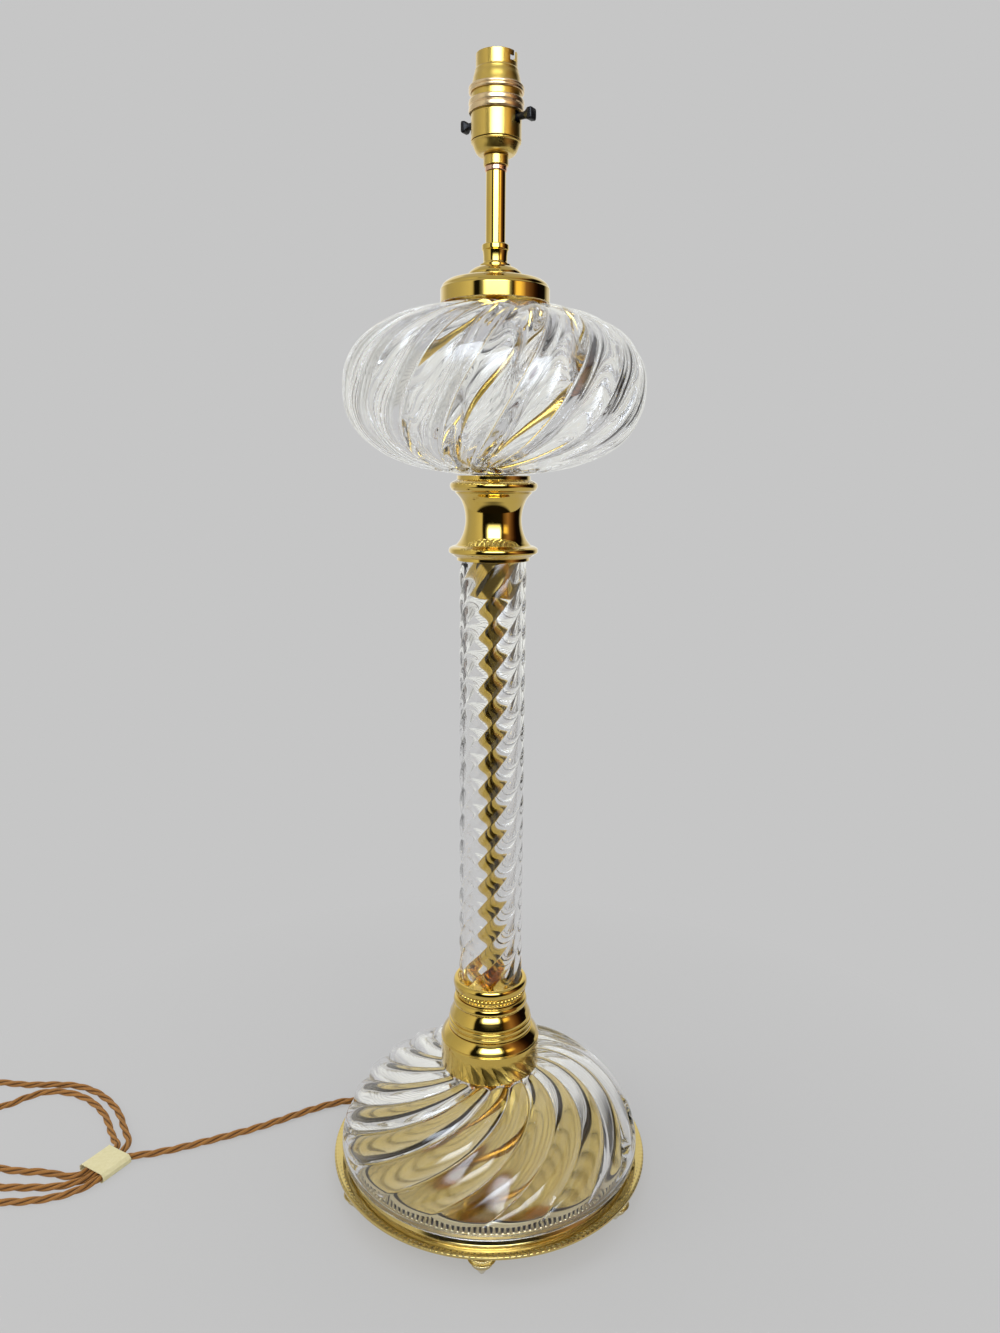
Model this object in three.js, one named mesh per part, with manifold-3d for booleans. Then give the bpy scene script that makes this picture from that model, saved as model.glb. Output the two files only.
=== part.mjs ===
// Table lamp: a swirl-ribbed glass font on a twisted glass column and a ribbed glass foot,
// held on one brass rod, with a bayonet lampholder, a fabric flex and its plug.
// Millimetres, +Z up, the floor under the feet at z = 0, the rod along the Z axis,
// and the side that faces the viewer towards -Y.

import * as THREE from 'three';
import { mergeVertices } from 'three/addons/utils/BufferGeometryUtils.js';
import Module from 'manifold-3d';

const wasm = await Module();
wasm.setup();

// Clearances
const SEAT_GAP = 0.3;
const BORE_GAP = 0.4;
const THREAD_GAP = 0.3;
const SLIDE_GAP = 0.4;

// Smoothness of turned pieces, in segments round
const WIDE_SEGMENTS = 48;
const TURNED_SEGMENTS = 24;
const SMALL_SEGMENTS = 16;

// Radius of the glass foot, which the plate, its feet and the gallery ring follow
const DOME_RADIUS = 113.2;

// Base plate and feet
const PLATE_RADIUS = DOME_RADIUS + 6;
const PLATE_SHEET = 1.5;
const PLATE_DROP = 7.5;
const PLATE_STEP_RADIUS = DOME_RADIUS - 3.2;
const FLANGE_LIP = 2;
const FOOT_HEIGHT = 19;
const FOOT_COUNT = 6;
const FOOT_CIRCLE = DOME_RADIUS - 4.7;
const FOOT_RADIUS = 9.7;
const FOOT_TIP_RADIUS = 1.2;
const FOOT_STEM_RADIUS = 4;
const FOOT_START_ANGLE = THREE.MathUtils.degToRad(-2.3);
const PLATE_TOP = FOOT_HEIGHT + PLATE_DROP;
const PLATE_UNDERSIDE = PLATE_TOP - PLATE_SHEET;
const FLANGE_TOP = FOOT_HEIGHT + FLANGE_LIP;

// Rod, its tubes, nut, washer and cord bush
const ROD_RADIUS = 5;
const ROD_BORE = 3.5;
const ROD_HOLE = ROD_RADIUS + BORE_GAP;
const TUBE_RADIUS = 6.5;
const TUBE_HOLE = TUBE_RADIUS + SEAT_GAP;
const WASHER_RADIUS = 14;
const WASHER_THICKNESS = 1.2;
const NUT_ACROSS_CORNERS = 19.6;
const NUT_HEIGHT = 4;
const ROD_BELOW_NUT = 1.2;
const BUSH_RADIUS = 6.5;
const BUSH_HEIGHT = 1.7;

// Ribbed glass foot
const GASKET_THICKNESS = 0.8;
const DOME_WALL = 5;
const DOME_RIM_HEIGHT = 2.1;
const DOME_RISE = 61.4;
const DOME_ROUND = 3;
const DOME_CROWN = 1.8;
const DOME_RIBS = 18;
const DOME_RIB_DEPTH = 3.5;
const DOME_TWIST = THREE.MathUtils.degToRad(92);
const DOME_NECK_RADIUS = 36;
const DOME_HOLE = 14;
const GALLERY_HEIGHT = 9.5;
const GALLERY_INSET = 2;
const GALLERY_THICKNESS = 2;

// Turned brass between the foot and the column
const COLLAR_RADIUS = 37;
const COLLAR_WALL = 2;
const COLLAR_DRUM = 22;
const COLLAR_SHOULDER = 7.8;
const COLLAR_TOP_RADIUS = 31.6;
const SPOOL_HEIGHT = 24.5;
const SPOOL_RADIUS = 31.2;
const SPOOL_NECK_RADIUS = 26.2;
const SPOOL_WALL = 3.5;
const CUP_FLOOR = 3.6;
const CUP_DEPTH = 10.2;
const CUP_RADIUS = 27.6;
const CUP_NECK_RADIUS = 24.9;

// Twisted glass column
const COLUMN_RADIUS = 23.3;
const COLUMN_BORE = 16.5;
const COLUMN_LENGTH = 325;
const COLUMN_RIBS = 8;
const COLUMN_RIB_DEPTH = 1.7;
const COLUMN_RIB_PITCH = 18.2;
const COLUMN_ROWS = 38;
const BUSHING_LENGTH = 28;

// Turned brass between the column and the font
const UPPER_RECESS = 3.4;
const UPPER_WAIST_RADIUS = 19.7;
const UPPER_RING_RADIUS = 30.6;
const UPPER_LIP_RADIUS = 25.1;
const UPPER_HEIGHT = 57.6;
const UPPER_BORE = 15.5;

// Swirled glass font
const FONT_RADIUS = 101;
const FONT_ABOVE = 54;
const FONT_BELOW = 56.3;
const FONT_ROUND = 2.4;
const FONT_WALL = 5;
const FONT_RIBS = 18;
const FONT_RIB_DEPTH = 0.9;
const FONT_INNER_RIB_DEPTH = 1.6;
const FONT_TWIST = THREE.MathUtils.degToRad(35);
const FONT_MOUTH = 20;
const FONT_FOOT_HOLE = 14;

// Cap, stepped dome, neck cup and stem
const CAP_RADIUS = 36.1;
const CAP_RIM = 9.6;
const CAP_RISE = 6.1;
const CAP_WALL = 1.4;
const CAP_TOP_RADIUS = 21.6;
const STEP_DOME_RADIUS = 20.3;
const STEP_DOME_HEIGHT = 8.5;
const STEP_DOME_TOP_RADIUS = 10.2;
const NECK_RADIUS = 8.8;
const NECK_WAIST_RADIUS = 7.9;
const NECK_HEIGHT = 12.3;
const NECK_SOCKET = 8;
const STEM_ABOVE_NECK = 43.9;
const STEM_WASHER_RADIUS = 7.1;
const STEM_WASHER_HEIGHT = 2.8;

// Bayonet lampholder
const HOLDER_NUT_RADIUS = 8.1;
const HOLDER_NUT_HEIGHT = 6;
const HOLDER_RADIUS = 16.2;
const HOLDER_WALL = 1.1;
const HOLDER_DOME_HEIGHT = 8.2;
const HOLDER_BODY_HEIGHT = 15.6;
const THREAD_RADIUS = 16.1;
const THREAD_LENGTH = 16;
const SKIRT_TAPER = 10;
const BARREL_RADIUS = 13.25;
const BARREL_WALL = 0.9;
const BARREL_LENGTH = 8.6;
const BAYONET_SLOT_WIDTH = 3;
const BAYONET_SLOT_DEPTH = 6;
const BAYONET_HOOK = THREE.MathUtils.degToRad(26);
const BAYONET_ANGLE = THREE.MathUtils.degToRad(-29);
const RING_RADIUS = 17.8;
const LOWER_RING_HEIGHT = 7.5;
const UPPER_RING_HEIGHT = 4;
const RING_SPACE = 4;
const INSERT_TOP_BELOW_RIM = 14.3;
const INSERT_NECK = 6;
const PLUNGER_RADIUS = 2.2;
const PLUNGER_OFFSET = 4.2;
const PLUNGER_STICKS_OUT = 2.6;
const PLUNGER_LENGTH = 9.4;
const PLUNGER_TRAVEL = 2.4;
const SPRING_LENGTH = 6;
const SPRING_WALL = 0.6;
const TERMINAL_OFFSET = 9;
const TERMINAL_RADIUS = 1.8;
const TERMINAL_HEIGHT = 2.4;

// Push-through switch
const SWITCH_HEIGHT_IN_BODY = 12.1;
const SWITCH_ANGLE = THREE.MathUtils.degToRad(-32);
const SWITCH_BAR_RADIUS = 2.15;
const SWITCH_BUTTON_RADIUS = 3.6;
const SWITCH_RIGHT_REACH = 27.6;
const SWITCH_LEFT_REACH = 25.4;
const SWITCH_BUTTON_LENGTH = 3.2;

// Flex: three twisted fabric cores, as one round cord
const FLEX_RADIUS = 2.8;
const FLEX_SIDES = 8;
const FLEX_STEPS = 30;
const LOOP_SIDES = 6;
const TIE_HEIGHT = 7.8;
const TIE_WALL = 0.6;
const TIE_WIDTH = 27.2;
const TIE_LENGTH = 26;
const TIE_ANGLE = THREE.MathUtils.degToRad(-120);

// Plug with three flat pins, lying on its cover
const PLUG_LENGTH = 48;
const PLUG_WIDTH = 50;
const PLUG_COVER_THICKNESS = 9.8;
const PLUG_BASE_THICKNESS = 7;
const PLUG_FACE = new THREE.Vector3(-462, 12, 0.1);
const PIN_THICKNESS = 4;
const LIVE_PIN = { width: 6.3, length: 17.7 };
const EARTH_PIN = { width: 8, length: 22.7 };
const PIN_SPACING = 22.2;
const PIN_ROW_INSET = 15;
const PLUG_SCREW_RADIUS = 3.2;
const PLUG_SCREW_HEIGHT = 0.8;
const GROMMET_RADIUS = 5.4;
const GROMMET_LENGTH = 10;

// Levels that pieces share, from the floor up
const GLASS_FOOT_SEAT = PLATE_TOP + SEAT_GAP + GASKET_THICKNESS + SEAT_GAP;
const DOME_TOP = GLASS_FOOT_SEAT + DOME_RIM_HEIGHT + DOME_RISE;
const COLLAR_BOTTOM = DOME_TOP + SEAT_GAP;
const SPOOL_BOTTOM = COLLAR_BOTTOM + COLLAR_DRUM + COLLAR_SHOULDER + SEAT_GAP;
const CUP_BOTTOM = SPOOL_BOTTOM + SPOOL_HEIGHT + SEAT_GAP;
const COLUMN_BOTTOM = CUP_BOTTOM + CUP_FLOOR + SEAT_GAP;
const COLUMN_TOP = COLUMN_BOTTOM + COLUMN_LENGTH;
const UPPER_BOTTOM = COLUMN_TOP + SEAT_GAP - UPPER_RECESS;
const FONT_BOTTOM = UPPER_BOTTOM + UPPER_HEIGHT + SEAT_GAP;
const FONT_MIDDLE = FONT_BOTTOM + FONT_BELOW;
const FONT_TOP = FONT_MIDDLE + FONT_ABOVE;
const CAP_BOTTOM = FONT_TOP + SEAT_GAP;
const STEP_DOME_BOTTOM = CAP_BOTTOM + CAP_RIM + CAP_RISE + SEAT_GAP;
const NECK_BOTTOM = STEP_DOME_BOTTOM + STEP_DOME_HEIGHT + SEAT_GAP;
const NECK_TOP = NECK_BOTTOM + NECK_HEIGHT;
const STEM_TOP = NECK_TOP + STEM_ABOVE_NECK;
const STEM_WASHER_BOTTOM = STEM_TOP + SEAT_GAP;
const HOLDER_NUT_BOTTOM = STEM_WASHER_BOTTOM + STEM_WASHER_HEIGHT + SEAT_GAP;
const HOLDER_DOME_BOTTOM = HOLDER_NUT_BOTTOM + HOLDER_NUT_HEIGHT + SEAT_GAP;
const HOLDER_BODY_BOTTOM = HOLDER_DOME_BOTTOM + HOLDER_DOME_HEIGHT + SEAT_GAP;
const THREAD_BOTTOM = HOLDER_BODY_BOTTOM + HOLDER_BODY_HEIGHT + SEAT_GAP;
const SKIRT_TOP = THREAD_BOTTOM + THREAD_LENGTH + SKIRT_TAPER;
const HOLDER_TOP = SKIRT_TOP + BARREL_LENGTH;
const ROD_BOTTOM = PLATE_UNDERSIDE - 2 * SEAT_GAP - WASHER_THICKNESS - NUT_HEIGHT - ROD_BELOW_NUT;
const ROD_TOP = HOLDER_DOME_BOTTOM + HOLDER_WALL + 1;
const BUSH_BOTTOM = ROD_BOTTOM - SEAT_GAP - BUSH_HEIGHT;
const INSERT_BOTTOM = HOLDER_BODY_BOTTOM + TERMINAL_HEIGHT;
const INSERT_TOP = HOLDER_TOP - INSERT_TOP_BELOW_RIM;
const SWITCH_LEVEL = HOLDER_BODY_BOTTOM + SWITCH_HEIGHT_IN_BODY;

// Materials
const finish = (color, roughness, metalness) => (
  new THREE.MeshStandardMaterial({ color, roughness, metalness })
);
const polishedBrass = () => finish(0xc8a24a, 0.15, 1);
const clearGlass = () => finish(0xf2f4f2, 0.03, 0);
const blackPlastic = () => finish(0x14141a, 0.4, 0);
const goldFabric = () => finish(0x96602f, 0.85, 0);

const lamp = new THREE.Group();

function add(name, geometry, material) {
  const mesh = new THREE.Mesh(geometry, material);
  mesh.name = name;
  lamp.add(mesh);
  return mesh;
}

// Turn a geometry's triangles to face out, by the sign of its volume.
function faceOut(geometry) {
  const plain = geometry.clone();
  plain.deleteAttribute('normal');
  plain.deleteAttribute('uv');
  const merged = mergeVertices(plain, 1e-4);
  const position = merged.getAttribute('position');
  const index = Array.from(merged.getIndex().array);
  const corner = [new THREE.Vector3(), new THREE.Vector3(), new THREE.Vector3()];
  const kept = [];
  let volume = 0;
  for (let i = 0; i < index.length; i += 3) {
    const [a, b, c] = index.slice(i, i + 3);
    if (a === b || b === c || a === c) continue;
    kept.push(a, b, c);
    [a, b, c].forEach((vertex, k) => corner[k].fromBufferAttribute(position, vertex));
    volume += corner[0].dot(corner[1].cross(corner[2]));
  }
  if (volume < 0) {
    for (let i = 0; i < kept.length; i += 3) {
      [kept[i], kept[i + 1]] = [kept[i + 1], kept[i]];
    }
  }
  merged.setIndex(kept);
  return merged;
}

// A solid of revolution about Z from a closed outline of [radius, height] points.
function turned(outline, segments = TURNED_SEGMENTS) {
  const points = [...outline, outline[0]].map(([radius, height]) => new THREE.Vector2(radius, height));
  return faceOut(new THREE.LatheGeometry(points, segments).rotateX(Math.PI / 2));
}

function tubeRing(outer, inner, bottom, top, segments = TURNED_SEGMENTS) {
  return turned([[inner, bottom], [outer, bottom], [outer, top], [inner, top]], segments);
}

function rod(radius, bottom, top, segments = SMALL_SEGMENTS) {
  return faceOut(new THREE.CylinderGeometry(radius, radius, top - bottom, segments)
    .rotateX(Math.PI / 2)
    .translate(0, 0, (bottom + top) / 2));
}

function hexNut(acrossCorners, bottom, height) {
  const blank = rod(acrossCorners / 2, bottom, bottom + height, 6);
  return cut(blank, rod(ROD_HOLE, bottom - 1, bottom + height + 1));
}

function toManifold(geometry) {
  const merged = faceOut(geometry);
  return new wasm.Manifold(new wasm.Mesh({
    numProp: 3,
    vertProperties: new Float32Array(merged.getAttribute('position').array),
    triVerts: new Uint32Array(merged.getIndex().array),
  }));
}

function fromManifold(solid) {
  const mesh = solid.getMesh();
  const geometry = new THREE.BufferGeometry();
  geometry.setAttribute('position', new THREE.BufferAttribute(new Float32Array(mesh.vertProperties), 3));
  geometry.setIndex(Array.from(mesh.triVerts));
  return geometry;
}

function cut(geometry, ...cutters) {
  let solid = toManifold(geometry);
  cutters.forEach((cutter) => {
    solid = solid.subtract(toManifold(cutter));
  });
  return fromManifold(solid);
}

// Points of a quarter superellipse from its widest place to its top, in equal angles.
function superQuarter(radius, rise, round, crown, count) {
  return Array.from({ length: count + 1 }, (_, i) => {
    const angle = (i / count) * Math.PI / 2;
    return [radius * Math.cos(angle) ** (2 / round), rise * Math.sin(angle) ** (2 / crown)];
  });
}

// A shell whose surface winds into ribs: each outline point has its radius, height, turn and rib depth,
// and each rib is a rounded ridge between two sharp valleys.
function ribbedShell(outline, ribs, samplesPerRib) {
  const around = ribs * samplesPerRib;
  const positions = [];
  outline.forEach(({ radius, height, turn, depth, out }) => {
    for (let j = 0; j < around; j += 1) {
      const valley = j % samplesPerRib === 0 ? depth : depth * 0.1;
      const angle = turn + (j / around) * Math.PI * 2;
      const r = radius - valley * out[0];
      positions.push(r * Math.sin(angle), -r * Math.cos(angle), height - valley * out[1]);
    }
  });
  const index = [];
  outline.forEach((_, i) => {
    const next = (i + 1) % outline.length;
    for (let j = 0; j < around; j += 1) {
      const k = (j + 1) % around;
      const [a, b, c, d] = [i * around + j, i * around + k, next * around + k, next * around + j];
      index.push(a, b, c, a, c, d);
    }
  });
  const geometry = new THREE.BufferGeometry();
  geometry.setAttribute('position', new THREE.Float32BufferAttribute(positions, 3));
  geometry.setIndex(index);
  return faceOut(geometry);
}

// Outward direction, in radius and height, at each point of an open outline.
function outlineNormals(points) {
  return points.map((_, i) => {
    const before = points[Math.max(i - 1, 0)];
    const after = points[Math.min(i + 1, points.length - 1)];
    const along = [after[0] - before[0], after[1] - before[1]];
    const length = Math.hypot(...along);
    return [along[1] / length, -along[0] / length];
  });
}

// Base plate: a raised flat disc, a step down to a flat flange, and the flange's edge turned down.
function basePlate() {
  const flangeUnderside = FLANGE_TOP - PLATE_SHEET;
  const stepInside = PLATE_STEP_RADIUS - PLATE_SHEET;
  return turned([
    [ROD_HOLE, PLATE_TOP],
    [PLATE_STEP_RADIUS - 0.5, PLATE_TOP],
    [PLATE_STEP_RADIUS, PLATE_TOP - 0.5],
    [PLATE_STEP_RADIUS, FLANGE_TOP],
    [PLATE_RADIUS - 0.8, FLANGE_TOP],
    [PLATE_RADIUS, FLANGE_TOP - 0.8],
    [PLATE_RADIUS, FOOT_HEIGHT],
    [PLATE_RADIUS - PLATE_SHEET, FOOT_HEIGHT],
    [PLATE_RADIUS - PLATE_SHEET, flangeUnderside],
    [stepInside, flangeUnderside],
    [stepInside, PLATE_UNDERSIDE],
    [ROD_HOLE, PLATE_UNDERSIDE],
  ], WIDE_SEGMENTS);
}

// Beaded pointed foot under the plate's flange.
function foot() {
  const top = FLANGE_TOP - PLATE_SHEET - SEAT_GAP;
  return turned([
    [0, 0],
    [FOOT_TIP_RADIUS, 0],
    [FOOT_RADIUS * 0.66, FOOT_RADIUS * 0.6],
    [FOOT_RADIUS * 0.8, FOOT_RADIUS * 0.7],
    [FOOT_RADIUS * 0.76, FOOT_RADIUS * 0.85],
    [FOOT_RADIUS, FOOT_RADIUS * 1.08],
    [FOOT_RADIUS * 0.94, FOOT_RADIUS * 1.28],
    [FOOT_STEM_RADIUS, FOOT_RADIUS * 1.42],
    [FOOT_STEM_RADIUS, top],
    [0, top],
  ], 12);
}

// Glass foot: a dome with slanting ribs above a plain rim.
function glassFoot() {
  const band = GLASS_FOOT_SEAT + DOME_RIM_HEIGHT;
  const crest = superQuarter(DOME_RADIUS, DOME_RISE, DOME_ROUND, DOME_CROWN, 11)
    .filter(([r]) => r > DOME_NECK_RADIUS + 2)
    .map(([r, z]) => [r, band + z]);
  const normals = outlineNormals(crest);
  const turnAt = (r) => DOME_TWIST * (1 - Math.asin(Math.min(r / DOME_RADIUS, 1)) / (Math.PI / 2));
  const plain = (radius, height, turn) => ({ radius, height, turn, depth: 0, out: [1, 0] });
  const fadeRows = 2;
  const outer = crest.map(([r, z], i) => {
    const fadeIn = THREE.MathUtils.clamp((i - 1) / fadeRows, 0, 1);
    const narrowing = Math.min(1, (r / DOME_RADIUS) * 1.6);
    const depth = DOME_RIB_DEPTH * fadeIn * narrowing;
    return { radius: r, height: z, turn: turnAt(r), depth, out: normals[i] };
  });
  const neckTurn = turnAt(DOME_NECK_RADIUS);
  const inner = superQuarter(DOME_RADIUS - DOME_WALL, DOME_RISE - DOME_WALL, DOME_ROUND, DOME_CROWN, 5)
    .filter(([r]) => r > DOME_HOLE)
    .reverse();
  return ribbedShell([
    plain(DOME_RADIUS - SEAT_GAP, GLASS_FOOT_SEAT, 0),
    ...outer,
    plain(DOME_NECK_RADIUS, DOME_TOP, neckTurn),
    plain(DOME_HOLE, DOME_TOP, neckTurn),
    plain(DOME_HOLE, DOME_TOP - DOME_WALL, neckTurn),
    ...inner.map(([r, z]) => plain(r, band + z, turnAt(r))),
    plain(DOME_RADIUS - DOME_WALL, GLASS_FOOT_SEAT, 0),
  ], DOME_RIBS, 3);
}

// Wide drum collar that presses the glass foot down, hollow from below.
function domeCollar() {
  const shoulder = COLLAR_BOTTOM + COLLAR_DRUM;
  const top = shoulder + COLLAR_SHOULDER;
  const inner = COLLAR_RADIUS - COLLAR_WALL;
  return turned([
    [COLLAR_RADIUS, COLLAR_BOTTOM],
    [COLLAR_RADIUS, shoulder],
    [COLLAR_RADIUS - 0.3, shoulder + 1.1],
    [COLLAR_RADIUS - 1.8, shoulder + 3.8],
    [COLLAR_TOP_RADIUS + 1.7, shoulder + 6.1],
    [COLLAR_TOP_RADIUS, top],
    [ROD_HOLE, top],
    [ROD_HOLE, top - COLLAR_WALL],
    [COLLAR_TOP_RADIUS - COLLAR_WALL, top - COLLAR_WALL],
    [inner, shoulder - COLLAR_WALL],
    [inner, COLLAR_BOTTOM],
  ]);
}

// Spool with two small beads below an ogee, hollow from below.
function columnSpool() {
  const z = SPOOL_BOTTOM;
  const top = z + SPOOL_HEIGHT;
  return turned([
    [SPOOL_RADIUS - 0.4, z],
    [SPOOL_RADIUS, z + 0.6],
    [SPOOL_RADIUS, z + 2.6],
    [SPOOL_RADIUS - 1, z + 3.3],
    [SPOOL_RADIUS - 0.4, z + 5.2],
    [SPOOL_RADIUS - 0.8, z + 6.8],
    [SPOOL_RADIUS - 1.6, z + 7.4],
    [SPOOL_RADIUS - 1, z + 8],
    [SPOOL_RADIUS - 1.1, z + 9.6],
    [SPOOL_NECK_RADIUS + 3.1, z + 12],
    [SPOOL_NECK_RADIUS + 1.8, z + 15],
    [SPOOL_NECK_RADIUS, z + 17.9],
    [SPOOL_NECK_RADIUS + 1.4, z + 20],
    [SPOOL_NECK_RADIUS + 0.8, z + 22.8],
    [SPOOL_NECK_RADIUS - 0.6, top],
    [ROD_HOLE, top],
    [ROD_HOLE, top - SPOOL_WALL],
    [SPOOL_NECK_RADIUS - SPOOL_WALL, top - SPOOL_WALL],
    [SPOOL_RADIUS - SPOOL_WALL - 1.6, z + 7.4],
    [SPOOL_RADIUS - SPOOL_WALL - 1.6, z],
  ]);
}

// Beaded cup that holds the lower end of the column.
function columnCup() {
  const z = CUP_BOTTOM;
  const seat = z + CUP_FLOOR;
  const rim = seat + CUP_DEPTH;
  const pocket = COLUMN_RADIUS + BORE_GAP;
  return turned([
    [CUP_NECK_RADIUS, z],
    [CUP_NECK_RADIUS + 0.4, z + 1.8],
    [CUP_RADIUS - 1.1, z + 2.4],
    [CUP_RADIUS - 1.1, z + 5.8],
    [CUP_RADIUS - 1.8, z + 6.2],
    [CUP_RADIUS - 0.4, z + 7.3],
    [CUP_RADIUS, z + 9],
    [CUP_RADIUS - 0.2, rim - 2.2],
    [CUP_RADIUS - 1.2, rim - 0.5],
    [CUP_RADIUS - 2.2, rim],
    [pocket, rim - 0.9],
    [pocket, seat],
    [ROD_HOLE, seat],
    [ROD_HOLE, z],
  ]);
}

// Glass column: ribs that wind up round a plain bore.
function glassColumn() {
  const lead = COLUMN_RIBS * COLUMN_RIB_PITCH;
  const row = (radius, height, depth) => ({
    radius,
    height,
    turn: ((height - COLUMN_BOTTOM) / lead) * Math.PI * 2,
    depth,
    out: [1, 0],
  });
  const rows = Array.from({ length: COLUMN_ROWS + 1 }, (_, i) => (
    row(COLUMN_RADIUS, COLUMN_BOTTOM + (i / COLUMN_ROWS) * COLUMN_LENGTH, COLUMN_RIB_DEPTH)
  ));
  const solid = ribbedShell([row(0, COLUMN_BOTTOM, 0), ...rows, row(0, COLUMN_TOP, 0)], COLUMN_RIBS, 3);
  return cut(solid, rod(COLUMN_BORE, COLUMN_BOTTOM - 1, COLUMN_TOP + 1, TURNED_SEGMENTS));
}

// Waisted collar with a ring at each end, hollow from above, recessed for the column below.
function upperCollar() {
  const z = UPPER_BOTTOM;
  const top = z + UPPER_HEIGHT;
  const pocket = COLUMN_RADIUS + BORE_GAP;
  return turned([
    [UPPER_LIP_RADIUS, z],
    [UPPER_LIP_RADIUS, z + 2.2],
    [UPPER_RING_RADIUS - 2.2, z + 3.8],
    [UPPER_RING_RADIUS, z + 6.8],
    [UPPER_RING_RADIUS - 0.8, z + 8.8],
    [UPPER_RING_RADIUS - 4.3, z + 10.2],
    [UPPER_WAIST_RADIUS + 3.4, z + 14.4],
    [UPPER_WAIST_RADIUS + 1.1, z + 20],
    [UPPER_WAIST_RADIUS, z + 27.8],
    [UPPER_WAIST_RADIUS + 1.1, z + 35.6],
    [UPPER_WAIST_RADIUS + 3.8, z + 42],
    [UPPER_RING_RADIUS - 4.3, z + 45.6],
    [UPPER_RING_RADIUS - 1.2, z + 48.4],
    [UPPER_RING_RADIUS - 0.6, z + 51],
    [UPPER_RING_RADIUS - 2.2, z + 53.4],
    [UPPER_LIP_RADIUS + 0.3, z + 54.4],
    [UPPER_LIP_RADIUS, top],
    [UPPER_BORE, top],
    [UPPER_BORE, z + UPPER_RECESS + 6],
    [ROD_HOLE, z + UPPER_RECESS + 4],
    [ROD_HOLE, z + UPPER_RECESS],
    [pocket, z + UPPER_RECESS],
    [pocket, z],
  ]);
}

// Glass font: a flattened round bowl with slight ribs outside and deeper ones inside.
function glassFont() {
  const profile = (shrink, count) => {
    const radius = FONT_RADIUS - shrink;
    const quarter = (rise, hole) => superQuarter(radius, rise - shrink, FONT_ROUND, FONT_ROUND, count)
      .filter(([r]) => r > hole + 4);
    return [
      [FONT_FOOT_HOLE, -FONT_BELOW + shrink],
      ...quarter(FONT_BELOW, FONT_FOOT_HOLE).reverse().map(([r, z]) => [r, -z]),
      ...quarter(FONT_ABOVE, FONT_MOUTH).slice(1),
      [FONT_MOUTH, FONT_ABOVE - shrink],
    ];
  };
  const rows = (points, depth, sign) => {
    const normals = outlineNormals(points);
    return points.map(([r, z], i) => ({
      radius: r,
      height: FONT_MIDDLE + z,
      turn: FONT_TWIST * Math.atan2(z, r),
      depth: i === 0 || i === points.length - 1 ? 0 : depth,
      out: normals[i].map((n) => n * sign),
    }));
  };
  const outer = rows(profile(0, 6), FONT_RIB_DEPTH, 1);
  const inner = rows(profile(FONT_WALL, 5), FONT_INNER_RIB_DEPTH, -1);
  return ribbedShell([...outer, ...inner.reverse()], FONT_RIBS, 3);
}

// Spun cap over the font's mouth.
function fontCap() {
  const z = CAP_BOTTOM;
  const rim = z + CAP_RIM;
  const top = rim + CAP_RISE;
  const inside = CAP_RADIUS - CAP_WALL;
  return turned([
    [CAP_RADIUS, z],
    [CAP_RADIUS, rim],
    [CAP_RADIUS - 1.5, rim + CAP_RISE * 0.45],
    [CAP_RADIUS - 5, rim + CAP_RISE * 0.79],
    [CAP_RADIUS - 10, top - 0.4],
    [CAP_TOP_RADIUS, top],
    [ROD_HOLE, top],
    [ROD_HOLE, top - CAP_WALL],
    [CAP_TOP_RADIUS, top - CAP_WALL],
    [inside - 4.4, rim + CAP_RISE * 0.6],
    [inside, rim - 0.4],
    [inside, z],
  ]);
}

// Small stepped dome on the cap.
function stepDome() {
  const z = STEP_DOME_BOTTOM;
  return turned([
    [STEP_DOME_RADIUS, z],
    [STEP_DOME_RADIUS, z + 0.9],
    [STEP_DOME_RADIUS - 2.2, z + 1.4],
    [STEP_DOME_RADIUS - 3, z + 3.2],
    [STEP_DOME_RADIUS - 5.2, z + 5.3],
    [STEP_DOME_RADIUS - 8.4, z + 6.8],
    [STEP_DOME_TOP_RADIUS, z + 7.3],
    [STEP_DOME_TOP_RADIUS, z + STEP_DOME_HEIGHT],
    [ROD_HOLE, z + STEP_DOME_HEIGHT],
    [ROD_HOLE, z],
  ]);
}

// Cup with a flared lip that takes the foot of the stem.
function neckCup() {
  const z = NECK_BOTTOM;
  return turned([
    [NECK_RADIUS - 0.4, z],
    [NECK_WAIST_RADIUS, z + 1.3],
    [NECK_WAIST_RADIUS, z + 3.4],
    [NECK_RADIUS - 0.6, z + 7.4],
    [NECK_RADIUS, z + 8.8],
    [NECK_RADIUS, NECK_TOP - 0.8],
    [NECK_RADIUS - 0.5, NECK_TOP],
    [TUBE_HOLE, NECK_TOP],
    [TUBE_HOLE, NECK_TOP - NECK_SOCKET],
    [ROD_HOLE, NECK_TOP - NECK_SOCKET],
    [ROD_HOLE, z],
  ], TURNED_SEGMENTS);
}

// Domed lower shell of the lampholder.
function holderDome() {
  const z = HOLDER_DOME_BOTTOM;
  const top = z + HOLDER_DOME_HEIGHT;
  return turned([
    [HOLDER_NUT_RADIUS + 0.4, z],
    [HOLDER_RADIUS - 5, z + 0.3],
    [HOLDER_RADIUS - 3.3, z + 1.6],
    [HOLDER_RADIUS - 2, z + 4],
    [HOLDER_RADIUS - 1.3, z + 6.1],
    [HOLDER_RADIUS - 0.8, top],
    [HOLDER_RADIUS - 0.8 - HOLDER_WALL, top],
    [HOLDER_RADIUS - 1.3 - HOLDER_WALL, z + 6],
    [HOLDER_RADIUS - 3 - HOLDER_WALL, z + 3],
    [HOLDER_NUT_RADIUS + 0.4, z + HOLDER_WALL + 0.3],
    [ROD_HOLE, z + HOLDER_WALL],
    [ROD_HOLE, z],
  ]);
}

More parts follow.
